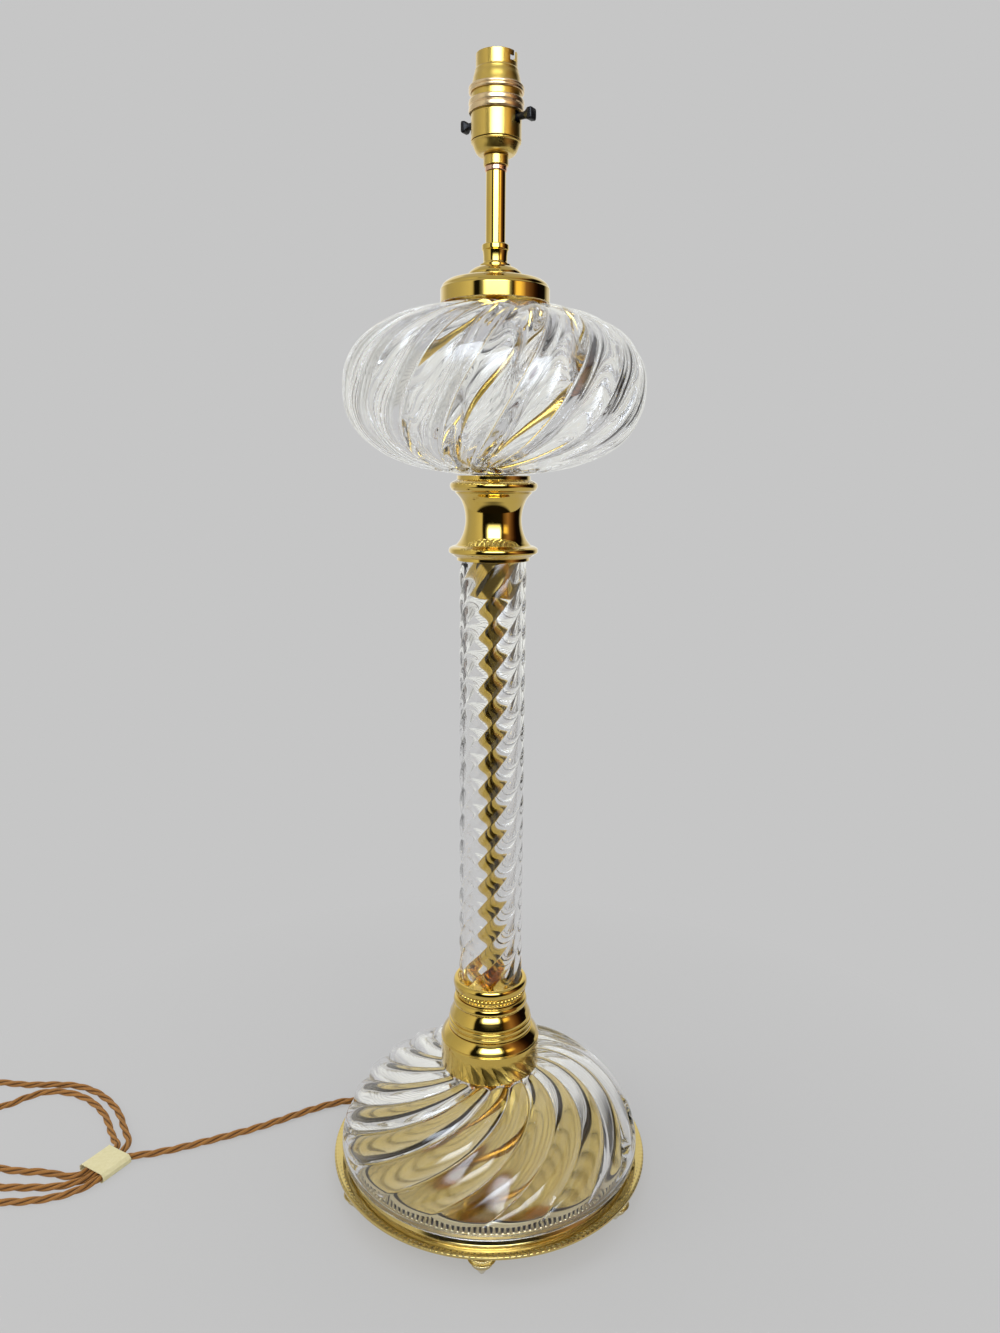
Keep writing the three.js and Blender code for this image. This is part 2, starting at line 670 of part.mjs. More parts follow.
// A cutter along the switch bar, centred on the holder's axis.
function switchCutter(width, height, length) {
  return new THREE.BoxGeometry(length, width, height)
    .rotateZ(SWITCH_ANGLE)
    .translate(0, 0, SWITCH_LEVEL);
}

const SWITCH_WAY = 2 * (SWITCH_BAR_RADIUS + SLIDE_GAP);
const HOLDER_BORE = HOLDER_RADIUS - HOLDER_WALL;

// Straight body of the lampholder, slotted on both sides for the switch bar.
function holderBody() {
  const top = HOLDER_BODY_BOTTOM + HOLDER_BODY_HEIGHT;
  const shell = tubeRing(HOLDER_RADIUS, HOLDER_BORE, HOLDER_BODY_BOTTOM, top);
  return cut(shell, switchCutter(SWITCH_WAY, SWITCH_WAY, 3 * HOLDER_RADIUS));
}

// Skirt with the ring thread, tapering to the slotted bayonet barrel.
function holderBarrel() {
  const thread = THREAD_BOTTOM + THREAD_LENGTH;
  const bore = BARREL_RADIUS - BARREL_WALL;
  const shell = turned([
    [THREAD_RADIUS, THREAD_BOTTOM],
    [THREAD_RADIUS, thread],
    [THREAD_RADIUS - 0.6, thread + 2.2],
    [THREAD_RADIUS - 1.2, thread + 5.4],
    [BARREL_RADIUS + 0.9, thread + 7.6],
    [BARREL_RADIUS + 0.6, SKIRT_TOP - 0.7],
    [BARREL_RADIUS, SKIRT_TOP],
    [BARREL_RADIUS, HOLDER_TOP],
    [bore, HOLDER_TOP],
    [bore, SKIRT_TOP - 1.2],
    [THREAD_RADIUS - 2.4, thread + 2],
    [HOLDER_BORE - 0.6, thread - 2],
    [HOLDER_BORE - 0.6, THREAD_BOTTOM],
  ]);
  const slots = [0, Math.PI].flatMap((side) => {
    const way = new THREE.BoxGeometry(BARREL_RADIUS, BAYONET_SLOT_WIDTH, BAYONET_SLOT_DEPTH + 1)
      .translate(BARREL_RADIUS, 0, HOLDER_TOP + (1 - BAYONET_SLOT_DEPTH) / 2)
      .rotateZ(BAYONET_ANGLE + side);
    const hook = new THREE.BoxGeometry(BARREL_RADIUS, BAYONET_SLOT_WIDTH, BAYONET_SLOT_WIDTH)
      .translate(BARREL_RADIUS, 0, HOLDER_TOP - BAYONET_SLOT_DEPTH + BAYONET_SLOT_WIDTH / 2)
      .rotateZ(BAYONET_ANGLE + side - BAYONET_HOOK / 2);
    return [way, hook];
  });
  return cut(shell, ...slots);
}

// Insulating insert with two plunger wells and the way for the switch bar.
function holderInsert() {
  const neck = INSERT_TOP - INSERT_NECK;
  const wide = HOLDER_BORE - 0.6 - BORE_GAP;
  const narrow = BARREL_RADIUS - BARREL_WALL - BORE_GAP;
  const block = turned([[0, INSERT_BOTTOM], [wide, INSERT_BOTTOM], [wide, neck - 1.5], [narrow, neck],
    [narrow, INSERT_TOP], [0, INSERT_TOP]]);
  const wellBottom = INSERT_TOP + PLUNGER_STICKS_OUT - PLUNGER_LENGTH - SPRING_LENGTH - 2 * SEAT_GAP;
  const wells = plungerPlaces().map(({ x, y }) => (
    rod(PLUNGER_RADIUS + SLIDE_GAP, wellBottom, INSERT_TOP + 1).translate(x, y, 0)
  ));
  return cut(block, ...wells, switchCutter(SWITCH_WAY, SWITCH_WAY, 3 * HOLDER_RADIUS));
}

function plungerPlaces() {
  return [-1, 1].map((side) => {
    const angle = BAYONET_ANGLE + (side * Math.PI) / 2;
    return { x: PLUNGER_OFFSET * Math.cos(angle), y: PLUNGER_OFFSET * Math.sin(angle) };
  });
}

function plunger() {
  const top = INSERT_TOP + PLUNGER_STICKS_OUT;
  const bottom = top - PLUNGER_LENGTH;
  return turned([[0, bottom], [PLUNGER_RADIUS, bottom], [PLUNGER_RADIUS, top - 0.8],
    [PLUNGER_RADIUS - 0.8, top], [0, top]], 12);
}

function plungerSpring() {
  const top = INSERT_TOP + PLUNGER_STICKS_OUT - PLUNGER_LENGTH - SEAT_GAP;
  return tubeRing(PLUNGER_RADIUS, PLUNGER_RADIUS - SPRING_WALL, top - SPRING_LENGTH, top, 12);
}

// Switch bar with a flared button at each end.
function switchBar() {
  const right = SWITCH_RIGHT_REACH;
  const left = -SWITCH_LEFT_REACH;
  const flare = SWITCH_BAR_RADIUS + 0.8;
  return turned([
    [0, left],
    [SWITCH_BUTTON_RADIUS - 0.5, left],
    [SWITCH_BUTTON_RADIUS, left + 1],
    [flare, left + SWITCH_BUTTON_LENGTH],
    [SWITCH_BAR_RADIUS, left + SWITCH_BUTTON_LENGTH + 1],
    [SWITCH_BAR_RADIUS, right - SWITCH_BUTTON_LENGTH - 1],
    [flare, right - SWITCH_BUTTON_LENGTH],
    [SWITCH_BUTTON_RADIUS, right - 1],
    [SWITCH_BUTTON_RADIUS - 0.5, right],
    [0, right],
  ], 12).rotateY(Math.PI / 2).rotateZ(SWITCH_ANGLE).translate(0, 0, SWITCH_LEVEL);
}

// Shade ring with rounded beads, threaded on the skirt.
function shadeRing(bottom, height, beads) {
  const inner = THREAD_RADIUS + THREAD_GAP;
  const bead = height / beads;
  const outline = [];
  for (let i = 0; i < beads; i += 1) {
    const z = bottom + i * bead;
    outline.push([RING_RADIUS - 0.5, z], [RING_RADIUS, z + bead * 0.3], [RING_RADIUS, z + bead * 0.7]);
  }
  const top = bottom + height;
  return turned([...outline, [RING_RADIUS - 0.5, top], [inner, top], [inner, bottom]]);
}

// Levels and places on the flex's way
const TIE_MIDDLE = new THREE.Vector3(-296, -10, TIE_HEIGHT / 2 + 0.1);
const FLOOR_LEVEL = FLEX_RADIUS + 0.1;
const FLEX_START = BUSH_BOTTOM - SEAT_GAP;

// A place in the tie: along the strands, and across them to the outside of the loops.
function inTie(along, across) {
  const forward = new THREE.Vector3(Math.cos(TIE_ANGLE), Math.sin(TIE_ANGLE), 0);
  const side = new THREE.Vector3(-forward.y, forward.x, 0);
  return TIE_MIDDLE.clone().addScaledVector(forward, along).addScaledVector(side, across);
}

const onFloor = (x, y, z = FLOOR_LEVEL) => new THREE.Vector3(x, y, z);

// From the bush under the plate, between two feet, to the tie.
const LEAD_ROUTE = [
  onFloor(0, 0, FLEX_START),
  onFloor(0, 0, FLEX_START - 0.7),
  onFloor(-0.9, 1.3, 9),
  onFloor(-3.3, 5, 4.6),
  onFloor(-7.2, 10.8),
  onFloor(-20, 30),
  onFloor(-38, 53),
  onFloor(-58, 68),
  onFloor(-82, 75),
  onFloor(-100, 75.5),
  onFloor(-113, 73.5),
  onFloor(-126, 71),
  onFloor(-140, 65.5),
  onFloor(-159, 55),
  onFloor(-178, 43.5),
  onFloor(-196, 33.5),
  onFloor(-214, 25),
  onFloor(-232, 17),
  onFloor(-250, 9.5),
  onFloor(-268, 3.2, 3.2),
  inTie(-14, 7),
  inTie(-11, 7.1),
];

// Loops lie side by side on the floor and pass through the tie three times, then run to the plug.
const LOOP_ROUTE = [
  inTie(-10.7, 7.1),
  inTie(17, 7.6),
  onFloor(-307, -37, 3.4),
  onFloor(-320, -43.5),
  onFloor(-340, -48.5),
  onFloor(-364, -50),
  onFloor(-400, -51),
  onFloor(-440, -52),
  onFloor(-480, -50),
  onFloor(-514, -42),
  onFloor(-541, -25),
  onFloor(-557, 1),
  onFloor(-559, 30),
  onFloor(-548, 57),
  onFloor(-527, 78),
  onFloor(-496, 91),
  onFloor(-462, 96),
  onFloor(-430, 94.5),
  onFloor(-404, 91.5),
  onFloor(-382, 92),
  onFloor(-362, 90.5),
  onFloor(-343, 83),
  onFloor(-326, 70.5),
  onFloor(-311, 54),
  onFloor(-299.5, 35),
  onFloor(-289.5, 17, 3.4),
  inTie(-17, -2),
  inTie(17, 0),
  onFloor(-314, -30, 3.4),
  onFloor(-327, -33.5),
  onFloor(-348, -34.5),
  onFloor(-372, -34.5),
  onFloor(-408, -35),
  onFloor(-444, -36),
  onFloor(-478, -34),
  onFloor(-508, -26),
  onFloor(-530, -11),
  onFloor(-541, 11),
  onFloor(-539, 36),
  onFloor(-524, 57),
  onFloor(-500, 69),
  onFloor(-472, 69),
  onFloor(-446, 61),
  onFloor(-424, 57),
  onFloor(-408, 64),
  onFloor(-396, 75),
  onFloor(-382, 82),
  onFloor(-364, 80.5),
  onFloor(-347, 73.5),
  onFloor(-332.5, 62.5),
  onFloor(-319, 47.5),
  onFloor(-309.5, 32),
  onFloor(-302, 20, 3.4),
  inTie(-17.5, -10.2),
  inTie(17, -8),
  onFloor(-318, -23, 3.4),
  onFloor(-328, -20.8),
  onFloor(-342, -18),
  onFloor(-360, -17),
  onFloor(-382, -13),
  onFloor(-406, -6),
  onFloor(-428, 3, 4.4),
  onFloor(-444, 9.6, 7.2),
  onFloor(-453, 12, 8.6),
  onFloor(PLUG_FACE.x + SEAT_GAP, PLUG_FACE.y, 8.6),
];

function flexLead() {
  const section = new THREE.Shape();
  for (let i = 0; i < FLEX_SIDES; i += 1) {
    const angle = (i / FLEX_SIDES) * Math.PI * 2;
    const corner = [FLEX_RADIUS * Math.cos(angle), FLEX_RADIUS * Math.sin(angle)];
    if (i === 0) section.moveTo(...corner);
    else section.lineTo(...corner);
  }
  section.closePath();
  const path = new THREE.CatmullRomCurve3(LEAD_ROUTE, false, 'centripetal');
  const settings = { steps: FLEX_STEPS, bevelEnabled: false, extrudePath: path };
  return faceOut(new THREE.ExtrudeGeometry(section, settings));
}

// A tube with one mitred ring of corners at each point of its route.
function tubeThrough(route, radius, sides) {
  const positions = [];
  const up = new THREE.Vector3(0, 0, 1);
  route.forEach((point, i) => {
    const before = route[Math.max(i - 1, 0)];
    const after = route[Math.min(i + 1, route.length - 1)];
    const into = point.clone().sub(before).normalize();
    const on = after.clone().sub(point).normalize();
    const along = into.clone().add(on).normalize();
    const across = new THREE.Vector3().crossVectors(up, along).normalize();
    const lift = new THREE.Vector3().crossVectors(along, across);
    const mitre = i === 0 || i === route.length - 1 ? 1 : 1 / Math.sqrt((1 + into.dot(on)) / 2);
    for (let j = 0; j < sides; j += 1) {
      const angle = (j / sides) * Math.PI * 2;
      const corner = point.clone()
        .addScaledVector(across, radius * mitre * Math.cos(angle))
        .addScaledVector(lift, radius * Math.sin(angle));
      positions.push(corner.x, corner.y, corner.z);
    }
  });
  const index = [];
  for (let i = 0; i < route.length - 1; i += 1) {
    for (let j = 0; j < sides; j += 1) {
      const k = (j + 1) % sides;
      const [a, b, c, d] = [i * sides + j, i * sides + k, (i + 1) * sides + k, (i + 1) * sides + j];
      index.push(a, b, c, a, c, d);
    }
  }
  const last = (route.length - 1) * sides;
  for (let j = 1; j < sides - 1; j += 1) {
    index.push(0, j + 1, j, last, last + j, last + j + 1);
  }
  const geometry = new THREE.BufferGeometry();
  geometry.setAttribute('position', new THREE.Float32BufferAttribute(positions, 3));
  geometry.setIndex(index);
  return faceOut(geometry);
}

// Least distance between stretches of the loops that are not neighbours, less one flex thickness.
function leastLoopGap() {
  const samples = [];
  let travelled = 0;
  for (let i = 0; i < LOOP_ROUTE.length - 1; i += 1) {
    const length = LOOP_ROUTE[i].distanceTo(LOOP_ROUTE[i + 1]);
    const count = Math.ceil(length / 2);
    for (let k = 0; k < count; k += 1) {
      const place = LOOP_ROUTE[i].clone().lerp(LOOP_ROUTE[i + 1], k / count);
      samples.push([travelled + (length * k) / count, place]);
    }
    travelled += length;
  }
  const nearby = 12 * FLEX_RADIUS;
  let least = Infinity;
  samples.forEach(([at, point], i) => {
    samples.slice(i + 1).forEach(([other, place]) => {
      if (other - at > nearby) least = Math.min(least, point.distanceTo(place));
    });
  });
  return { gap: least - 2 * FLEX_RADIUS, length: travelled };
}

// Paper tape round the three strands.
function cordTie() {
  const outside = roundedBox(TIE_LENGTH, TIE_WIDTH, TIE_HEIGHT, 2.4);
  const inside = roundedBox(TIE_LENGTH + 2, TIE_WIDTH - 2 * TIE_WALL, TIE_HEIGHT - 2 * TIE_WALL, 1.8);
  const middle = inTie(0, -1.5);
  return cut(outside, inside).rotateZ(TIE_ANGLE).translate(middle.x, middle.y, middle.z);
}

// A box along X with its long edges cut off.
function roundedBox(length, width, height, corner) {
  const [w, h] = [width / 2, height / 2];
  const shape = new THREE.Shape([
    [w - corner, -h], [w, -h + corner], [w, h - corner], [w - corner, h],
    [-w + corner, h], [-w, h - corner], [-w, -h + corner], [-w + corner, -h],
  ].map(([x, y]) => new THREE.Vector2(x, y)));
  return new THREE.ExtrudeGeometry(shape, { depth: length, bevelEnabled: false })
    .translate(0, 0, -length / 2)
    .rotateX(Math.PI / 2)
    .rotateZ(Math.PI / 2);
}

// Plug outline seen from above: flat at the cord side, narrowed and rounded at the other.
function plugOutline(inset) {
  const [l, w] = [PLUG_LENGTH - inset, PLUG_WIDTH / 2 - inset];
  return new THREE.Shape([
    [-inset, -w + 3], [-inset, w - 3], [-3 - inset, w],
    [-l * 0.45, w], [-l * 0.85, w * 0.72], [-l, w * 0.45],
    [-l, -w * 0.45], [-l * 0.85, -w * 0.72], [-l * 0.45, -w],
    [-3 - inset, -w],
  ].map(([x, y]) => new THREE.Vector2(x, y)));
}

function plugSlab(bottom, thickness, inset) {
  return faceOut(new THREE.ExtrudeGeometry(plugOutline(inset), { depth: thickness, bevelEnabled: false })
    .translate(PLUG_FACE.x, PLUG_FACE.y, PLUG_FACE.z + bottom));
}

const PLUG_BASE_BOTTOM = PLUG_COVER_THICKNESS + SEAT_GAP;
const PIN_FACE = PLUG_BASE_BOTTOM + PLUG_BASE_THICKNESS + SEAT_GAP;

function pin({ width, length }, inset, offset) {
  return faceOut(new THREE.BoxGeometry(PIN_THICKNESS, width, length)
    .translate(PLUG_FACE.x - inset, PLUG_FACE.y + offset, PLUG_FACE.z + PIN_FACE + length / 2));
}

function plugGrommet() {
  const hole = FLEX_RADIUS + SEAT_GAP;
  return turned([
    [hole, SEAT_GAP],
    [GROMMET_RADIUS, SEAT_GAP],
    [GROMMET_RADIUS - 1.2, GROMMET_LENGTH],
    [hole, GROMMET_LENGTH],
  ], 12).rotateY(Math.PI / 2).translate(PLUG_FACE.x, PLUG_FACE.y, 8.6);
}

// Foot assembly
add('base_plate', basePlate(), polishedBrass());
for (let i = 0; i < FOOT_COUNT; i += 1) {
  const angle = FOOT_START_ANGLE + (i / FOOT_COUNT) * Math.PI * 2;
  add(`foot_${i + 1}`, foot(), polishedBrass())
    .position.set(FOOT_CIRCLE * Math.sin(angle), -FOOT_CIRCLE * Math.cos(angle), 0);
}
add('base_gasket', tubeRing(PLATE_STEP_RADIUS - 0.4, DOME_RADIUS - DOME_WALL, PLATE_TOP + SEAT_GAP,
  PLATE_TOP + SEAT_GAP + GASKET_THICKNESS, WIDE_SEGMENTS), finish(0xd8d4c4, 0.9, 0));
const galleryRadius = DOME_RADIUS - DOME_WALL - GALLERY_INSET;
add('gallery_ring', tubeRing(galleryRadius, galleryRadius - GALLERY_THICKNESS, PLATE_TOP + SEAT_GAP,
  PLATE_TOP + GALLERY_HEIGHT, WIDE_SEGMENTS), polishedBrass());
add('glass_foot', glassFoot(), clearGlass());
add('foot_washer', tubeRing(WASHER_RADIUS, ROD_HOLE, PLATE_UNDERSIDE - SEAT_GAP - WASHER_THICKNESS,
  PLATE_UNDERSIDE - SEAT_GAP), finish(0xb8b8b8, 0.3, 1));
const nutTop = PLATE_UNDERSIDE - 2 * SEAT_GAP - WASHER_THICKNESS;
add('foot_nut', hexNut(NUT_ACROSS_CORNERS, nutTop - NUT_HEIGHT, NUT_HEIGHT), polishedBrass());
add('cord_bush', tubeRing(BUSH_RADIUS, FLEX_RADIUS + SEAT_GAP, BUSH_BOTTOM, ROD_BOTTOM - SEAT_GAP,
  SMALL_SEGMENTS), blackPlastic());
add('tie_rod', tubeRing(ROD_RADIUS, ROD_BORE, ROD_BOTTOM, ROD_TOP, SMALL_SEGMENTS),
  finish(0xb89a52, 0.35, 1));
add('inner_flex', rod(FLEX_RADIUS, FLEX_START + SEAT_GAP, HOLDER_BODY_BOTTOM - SEAT_GAP, 12), goldFabric());

// Column assembly
add('dome_collar', domeCollar(), polishedBrass());
add('column_spool', columnSpool(), polishedBrass());
add('column_cup', columnCup(), polishedBrass());
add('column_tube', tubeRing(TUBE_RADIUS, ROD_HOLE, COLUMN_BOTTOM, COLUMN_TOP, SMALL_SEGMENTS),
  polishedBrass());
add('column_bushing', tubeRing(COLUMN_BORE - 1, TUBE_HOLE, COLUMN_TOP - BUSHING_LENGTH, COLUMN_TOP),
  polishedBrass());
add('glass_column', glassColumn(), clearGlass());
add('upper_collar', upperCollar(), polishedBrass());

// Font and neck assembly
add('glass_font', glassFont(), clearGlass());
add('font_tube', tubeRing(TUBE_RADIUS, ROD_HOLE, UPPER_BOTTOM + UPPER_RECESS + 6.4,
  CAP_BOTTOM + CAP_RIM + CAP_RISE - CAP_WALL - SEAT_GAP, SMALL_SEGMENTS), polishedBrass());
add('font_cap', fontCap(), polishedBrass());
add('step_dome', stepDome(), polishedBrass());
add('neck_cup', neckCup(), polishedBrass());
const stemBottom = NECK_TOP - NECK_SOCKET + SEAT_GAP;
add('stem_tube', tubeRing(TUBE_RADIUS, ROD_HOLE, stemBottom, STEM_TOP, SMALL_SEGMENTS), polishedBrass());
add('stem_washer', tubeRing(STEM_WASHER_RADIUS, ROD_HOLE, STEM_WASHER_BOTTOM,
  STEM_WASHER_BOTTOM + STEM_WASHER_HEIGHT, SMALL_SEGMENTS), finish(0xd9a98c, 0.25, 1));

// Lampholder assembly
add('holder_nut', tubeRing(HOLDER_NUT_RADIUS, ROD_HOLE, HOLDER_NUT_BOTTOM,
  HOLDER_NUT_BOTTOM + HOLDER_NUT_HEIGHT), polishedBrass());
add('holder_dome', holderDome(), polishedBrass());
add('holder_body', holderBody(), polishedBrass());
add('holder_barrel', holderBarrel(), polishedBrass());
add('holder_insert', holderInsert(), blackPlastic());
plungerPlaces().forEach(({ x, y }, i) => {
  add(`plunger_${i + 1}`, plunger(), finish(0xc9b27a, 0.3, 1)).position.set(x, y, 0);
  add(`plunger_spring_${i + 1}`, plungerSpring(), finish(0xb9b9b4, 0.3, 1)).position.set(x, y, 0);
});
[-1, 1].forEach((side, i) => {
  const screw = rod(TERMINAL_RADIUS, HOLDER_BODY_BOTTOM, INSERT_BOTTOM - SEAT_GAP, 10);
  add(`terminal_screw_${i + 1}`, screw, finish(0xc9b27a, 0.3, 1)).position.set(side * TERMINAL_OFFSET, 0, 0);
});
add('switch_bar', switchBar(), blackPlastic());
const lowerRing = THREAD_BOTTOM + SEAT_GAP;
const upperRing = lowerRing + LOWER_RING_HEIGHT + RING_SPACE;
add('shade_ring_lower', shadeRing(lowerRing, LOWER_RING_HEIGHT, 2), polishedBrass());
add('shade_ring_upper', shadeRing(upperRing, UPPER_RING_HEIGHT, 1), polishedBrass());

// Flex, tie and plug
add('flex_lead', flexLead(), goldFabric());
add('flex_loops', tubeThrough(LOOP_ROUTE, FLEX_RADIUS, LOOP_SIDES), goldFabric());
add('cord_tie', cordTie(), finish(0xe6dca4, 0.8, 0));
add('plug_cover', plugSlab(0, PLUG_COVER_THICKNESS, 0), blackPlastic());
add('plug_base', plugSlab(PLUG_BASE_BOTTOM, PLUG_BASE_THICKNESS, 0.6), blackPlastic());
add('pin_neutral', pin(LIVE_PIN, PIN_ROW_INSET, -PIN_SPACING / 2), polishedBrass());
add('pin_line', pin(LIVE_PIN, PIN_ROW_INSET, PIN_SPACING / 2), polishedBrass());
add('pin_earth', pin(EARTH_PIN, PIN_ROW_INSET + PIN_SPACING, 0), polishedBrass());
add('plug_screw', rod(PLUG_SCREW_RADIUS, PIN_FACE, PIN_FACE + PLUG_SCREW_HEIGHT, 12)
  .translate(PLUG_FACE.x - PIN_ROW_INSET, PLUG_FACE.y, PLUG_FACE.z), finish(0xb8b8b8, 0.3, 1));
add('plug_grommet', plugGrommet(), blackPlastic());

const loops = leastLoopGap();
console.log(`flex loops: ${loops.length.toFixed(0)} mm long, least gap to itself ${loops.gap.toFixed(2)} mm`);

export default lamp;
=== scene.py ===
import math

import bpy
import numpy as np
from mathutils import Matrix, Vector


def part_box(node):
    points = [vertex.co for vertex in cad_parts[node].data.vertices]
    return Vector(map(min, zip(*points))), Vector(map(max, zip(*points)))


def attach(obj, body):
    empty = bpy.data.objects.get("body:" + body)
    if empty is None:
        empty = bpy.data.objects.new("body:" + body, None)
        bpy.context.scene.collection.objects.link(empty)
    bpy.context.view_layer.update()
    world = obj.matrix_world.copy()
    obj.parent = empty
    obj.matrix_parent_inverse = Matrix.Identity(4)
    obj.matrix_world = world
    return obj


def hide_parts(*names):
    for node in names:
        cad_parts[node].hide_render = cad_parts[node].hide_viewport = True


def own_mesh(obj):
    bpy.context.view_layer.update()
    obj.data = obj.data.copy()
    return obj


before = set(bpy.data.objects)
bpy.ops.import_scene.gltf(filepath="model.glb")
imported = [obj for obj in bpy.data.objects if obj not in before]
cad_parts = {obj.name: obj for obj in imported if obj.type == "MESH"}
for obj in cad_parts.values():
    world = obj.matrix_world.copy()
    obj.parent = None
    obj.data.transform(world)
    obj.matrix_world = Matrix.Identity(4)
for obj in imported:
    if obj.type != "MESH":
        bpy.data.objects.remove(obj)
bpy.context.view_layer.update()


def bottom_of(node):
    """The lowest height of a CAD node, in millimetres, to a hundredth."""
    return round(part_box(node)[0][2] * 1000, 2)


def top_of(node):
    """The highest height of a CAD node, in millimetres, to a hundredth."""
    return round(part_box(node)[1][2] * 1000, 2)


# Heights of the pieces, from the frame. Sizes are in millimetres, and mesh() turns them into metres.
PLATE_FOOT = bottom_of("base_plate")
PLATE_TOP = top_of("base_plate")
FLANGE = PLATE_FOOT + 2.0
GALLERY = bottom_of("gallery_ring")
FOOT_SEAT = bottom_of("glass_foot")
DOME_BAND = FOOT_SEAT + 2.1
CUP = bottom_of("column_cup")
COLUMN = bottom_of("glass_column")
COLUMN_TOP = top_of("glass_column")
FONT = bottom_of("glass_font")
BODY = bottom_of("holder_body")
THREAD = bottom_of("holder_barrel")
RIM = top_of("holder_barrel")
SWITCH = round((bottom_of("switch_bar") + top_of("switch_bar")) / 2, 2)
SPRING = bottom_of("plunger_spring_1")
SPRING_TOP = top_of("plunger_spring_1")

# Radii that several pieces share: the glass foot's edge, the tubes and the hole for the rod.
DOME_RADIUS = 113.2
TUBE = 6.5
ROD_HOLE = 5.4


# Camera: the photograph's. The focal length and the shift are in pixels of its 1333 rows.

PICTURE_ROWS = 1333.0
FOCAL_LENGTH = 985.0
SIDE_SHIFT = 7.5
SENSOR = 36.0
EYE = (0.0, -0.6844, 0.5314)
LOOK_DOWN = 11.09
ROLL = 0.404

camera = bpy.data.objects.new("camera", bpy.data.cameras.new("camera"))
bpy.context.scene.collection.objects.link(camera)
camera.data.sensor_width = SENSOR
camera.data.lens = SENSOR * FOCAL_LENGTH / PICTURE_ROWS
camera.data.shift_x = SIDE_SHIFT / PICTURE_ROWS
camera.matrix_world = (
    Matrix.Translation(EYE)
    @ Matrix.Rotation(math.radians(90.0 - LOOK_DOWN), 4, "X")
    @ Matrix.Rotation(math.radians(ROLL), 4, "Z")
)
bpy.context.scene.camera = camera
bpy.context.scene.view_settings.view_transform = "Standard"

# Light that crosses four glass walls and turns inside them needs long paths: shorter ones end black.
bpy.context.scene.cycles.max_bounces = 32
bpy.context.scene.cycles.glossy_bounces = 16
bpy.context.scene.cycles.transmission_bounces = 24


# Meshes

def mesh(name, points, faces, normals=None, uv=None):
    """A mesh object from an array of points in millimetres and an array of four-sided faces.
    normals, one for each point, keep turned faces true; uv is a pair for each point."""
    data = bpy.data.meshes.new(name)
    data.vertices.add(len(points))
    data.vertices.foreach_set("co", (np.asarray(points, float) * 0.001).ravel())
    faces = np.asarray(faces, np.int32)
    data.loops.add(faces.size)
    data.loops.foreach_set("vertex_index", faces.ravel())
    data.polygons.add(len(faces))
    data.polygons.foreach_set("loop_start", np.arange(0, faces.size, 4, dtype=np.int32))
    data.polygons.foreach_set("use_smooth", np.ones(len(faces), bool))
    data.update(calc_edges=True)
    if uv is not None:
        layer = data.uv_layers.new(name="along")
        layer.data.foreach_set("uv", np.asarray(uv, float)[faces.ravel()].ravel())
    if normals is not None:
        data.normals_split_custom_set_from_vertices(np.asarray(normals, float).tolist())
    data.validate()
    piece = bpy.data.objects.new(name, data)
    bpy.context.scene.collection.objects.link(piece)
    return piece


def wrapped(rows, around, closed=True):
    """Four-sided faces of a grid of rows by around points, joined round each row and, where closed,
    from the last row back to the first."""
    i = np.arange(rows if closed else rows - 1)[:, None]
    j = np.arange(around)[None, :]
    here, there = i * around, ((i + 1) % rows) * around
    k = (j + 1) % around
    return np.stack([here + j, here + k, there + k, there + j], axis=-1).reshape(-1, 4)


def capped(faces, rows, around):
    """Adds the flat ends of an open tube, as strips of four-sided faces across each end ring."""
    j = np.arange(around // 2 - 1)
    low = np.stack([j, around - 1 - j, around - 2 - j, j + 1], axis=-1)
    top = low[:, ::-1] + (rows - 1) * around
    return np.vstack([faces, low, top])


def outline(corners, steps=5):
    """A closed outline in radius and height. Each corner has radius, height and a rounding length;
    a parabola takes the place of the corner, from that far before it to that far after it.
    Gives the points and the outward normals, square to the parabola's slope."""
    at, turn = corners[:, :2], corners[:, 2]
    back, on = np.roll(at, 1, axis=0) - at, np.roll(at, -1, axis=0) - at
    back_length = np.linalg.norm(back, axis=1)
    on_length = np.linalg.norm(on, axis=1)
    reach = np.minimum(turn, 0.49 * np.minimum(back_length, on_length))[:, None]
    back, on = back / back_length[:, None], on / on_length[:, None]
    first, last = at + back * reach, at + on * reach
    t = np.linspace(0, 1, steps)[None, :, None]
    curve = (1 - t) ** 2 * first[:, None] + 2 * t * (1 - t) * at[:, None] + t ** 2 * last[:, None]
    slope = (1 - t) * -back[:, None] + t * on[:, None]
    slope = slope.reshape(-1, 2)
    slope /= np.linalg.norm(slope, axis=1)[:, None]
    return curve.reshape(-1, 2), np.stack([slope[:, 1], -slope[:, 0]], axis=-1)


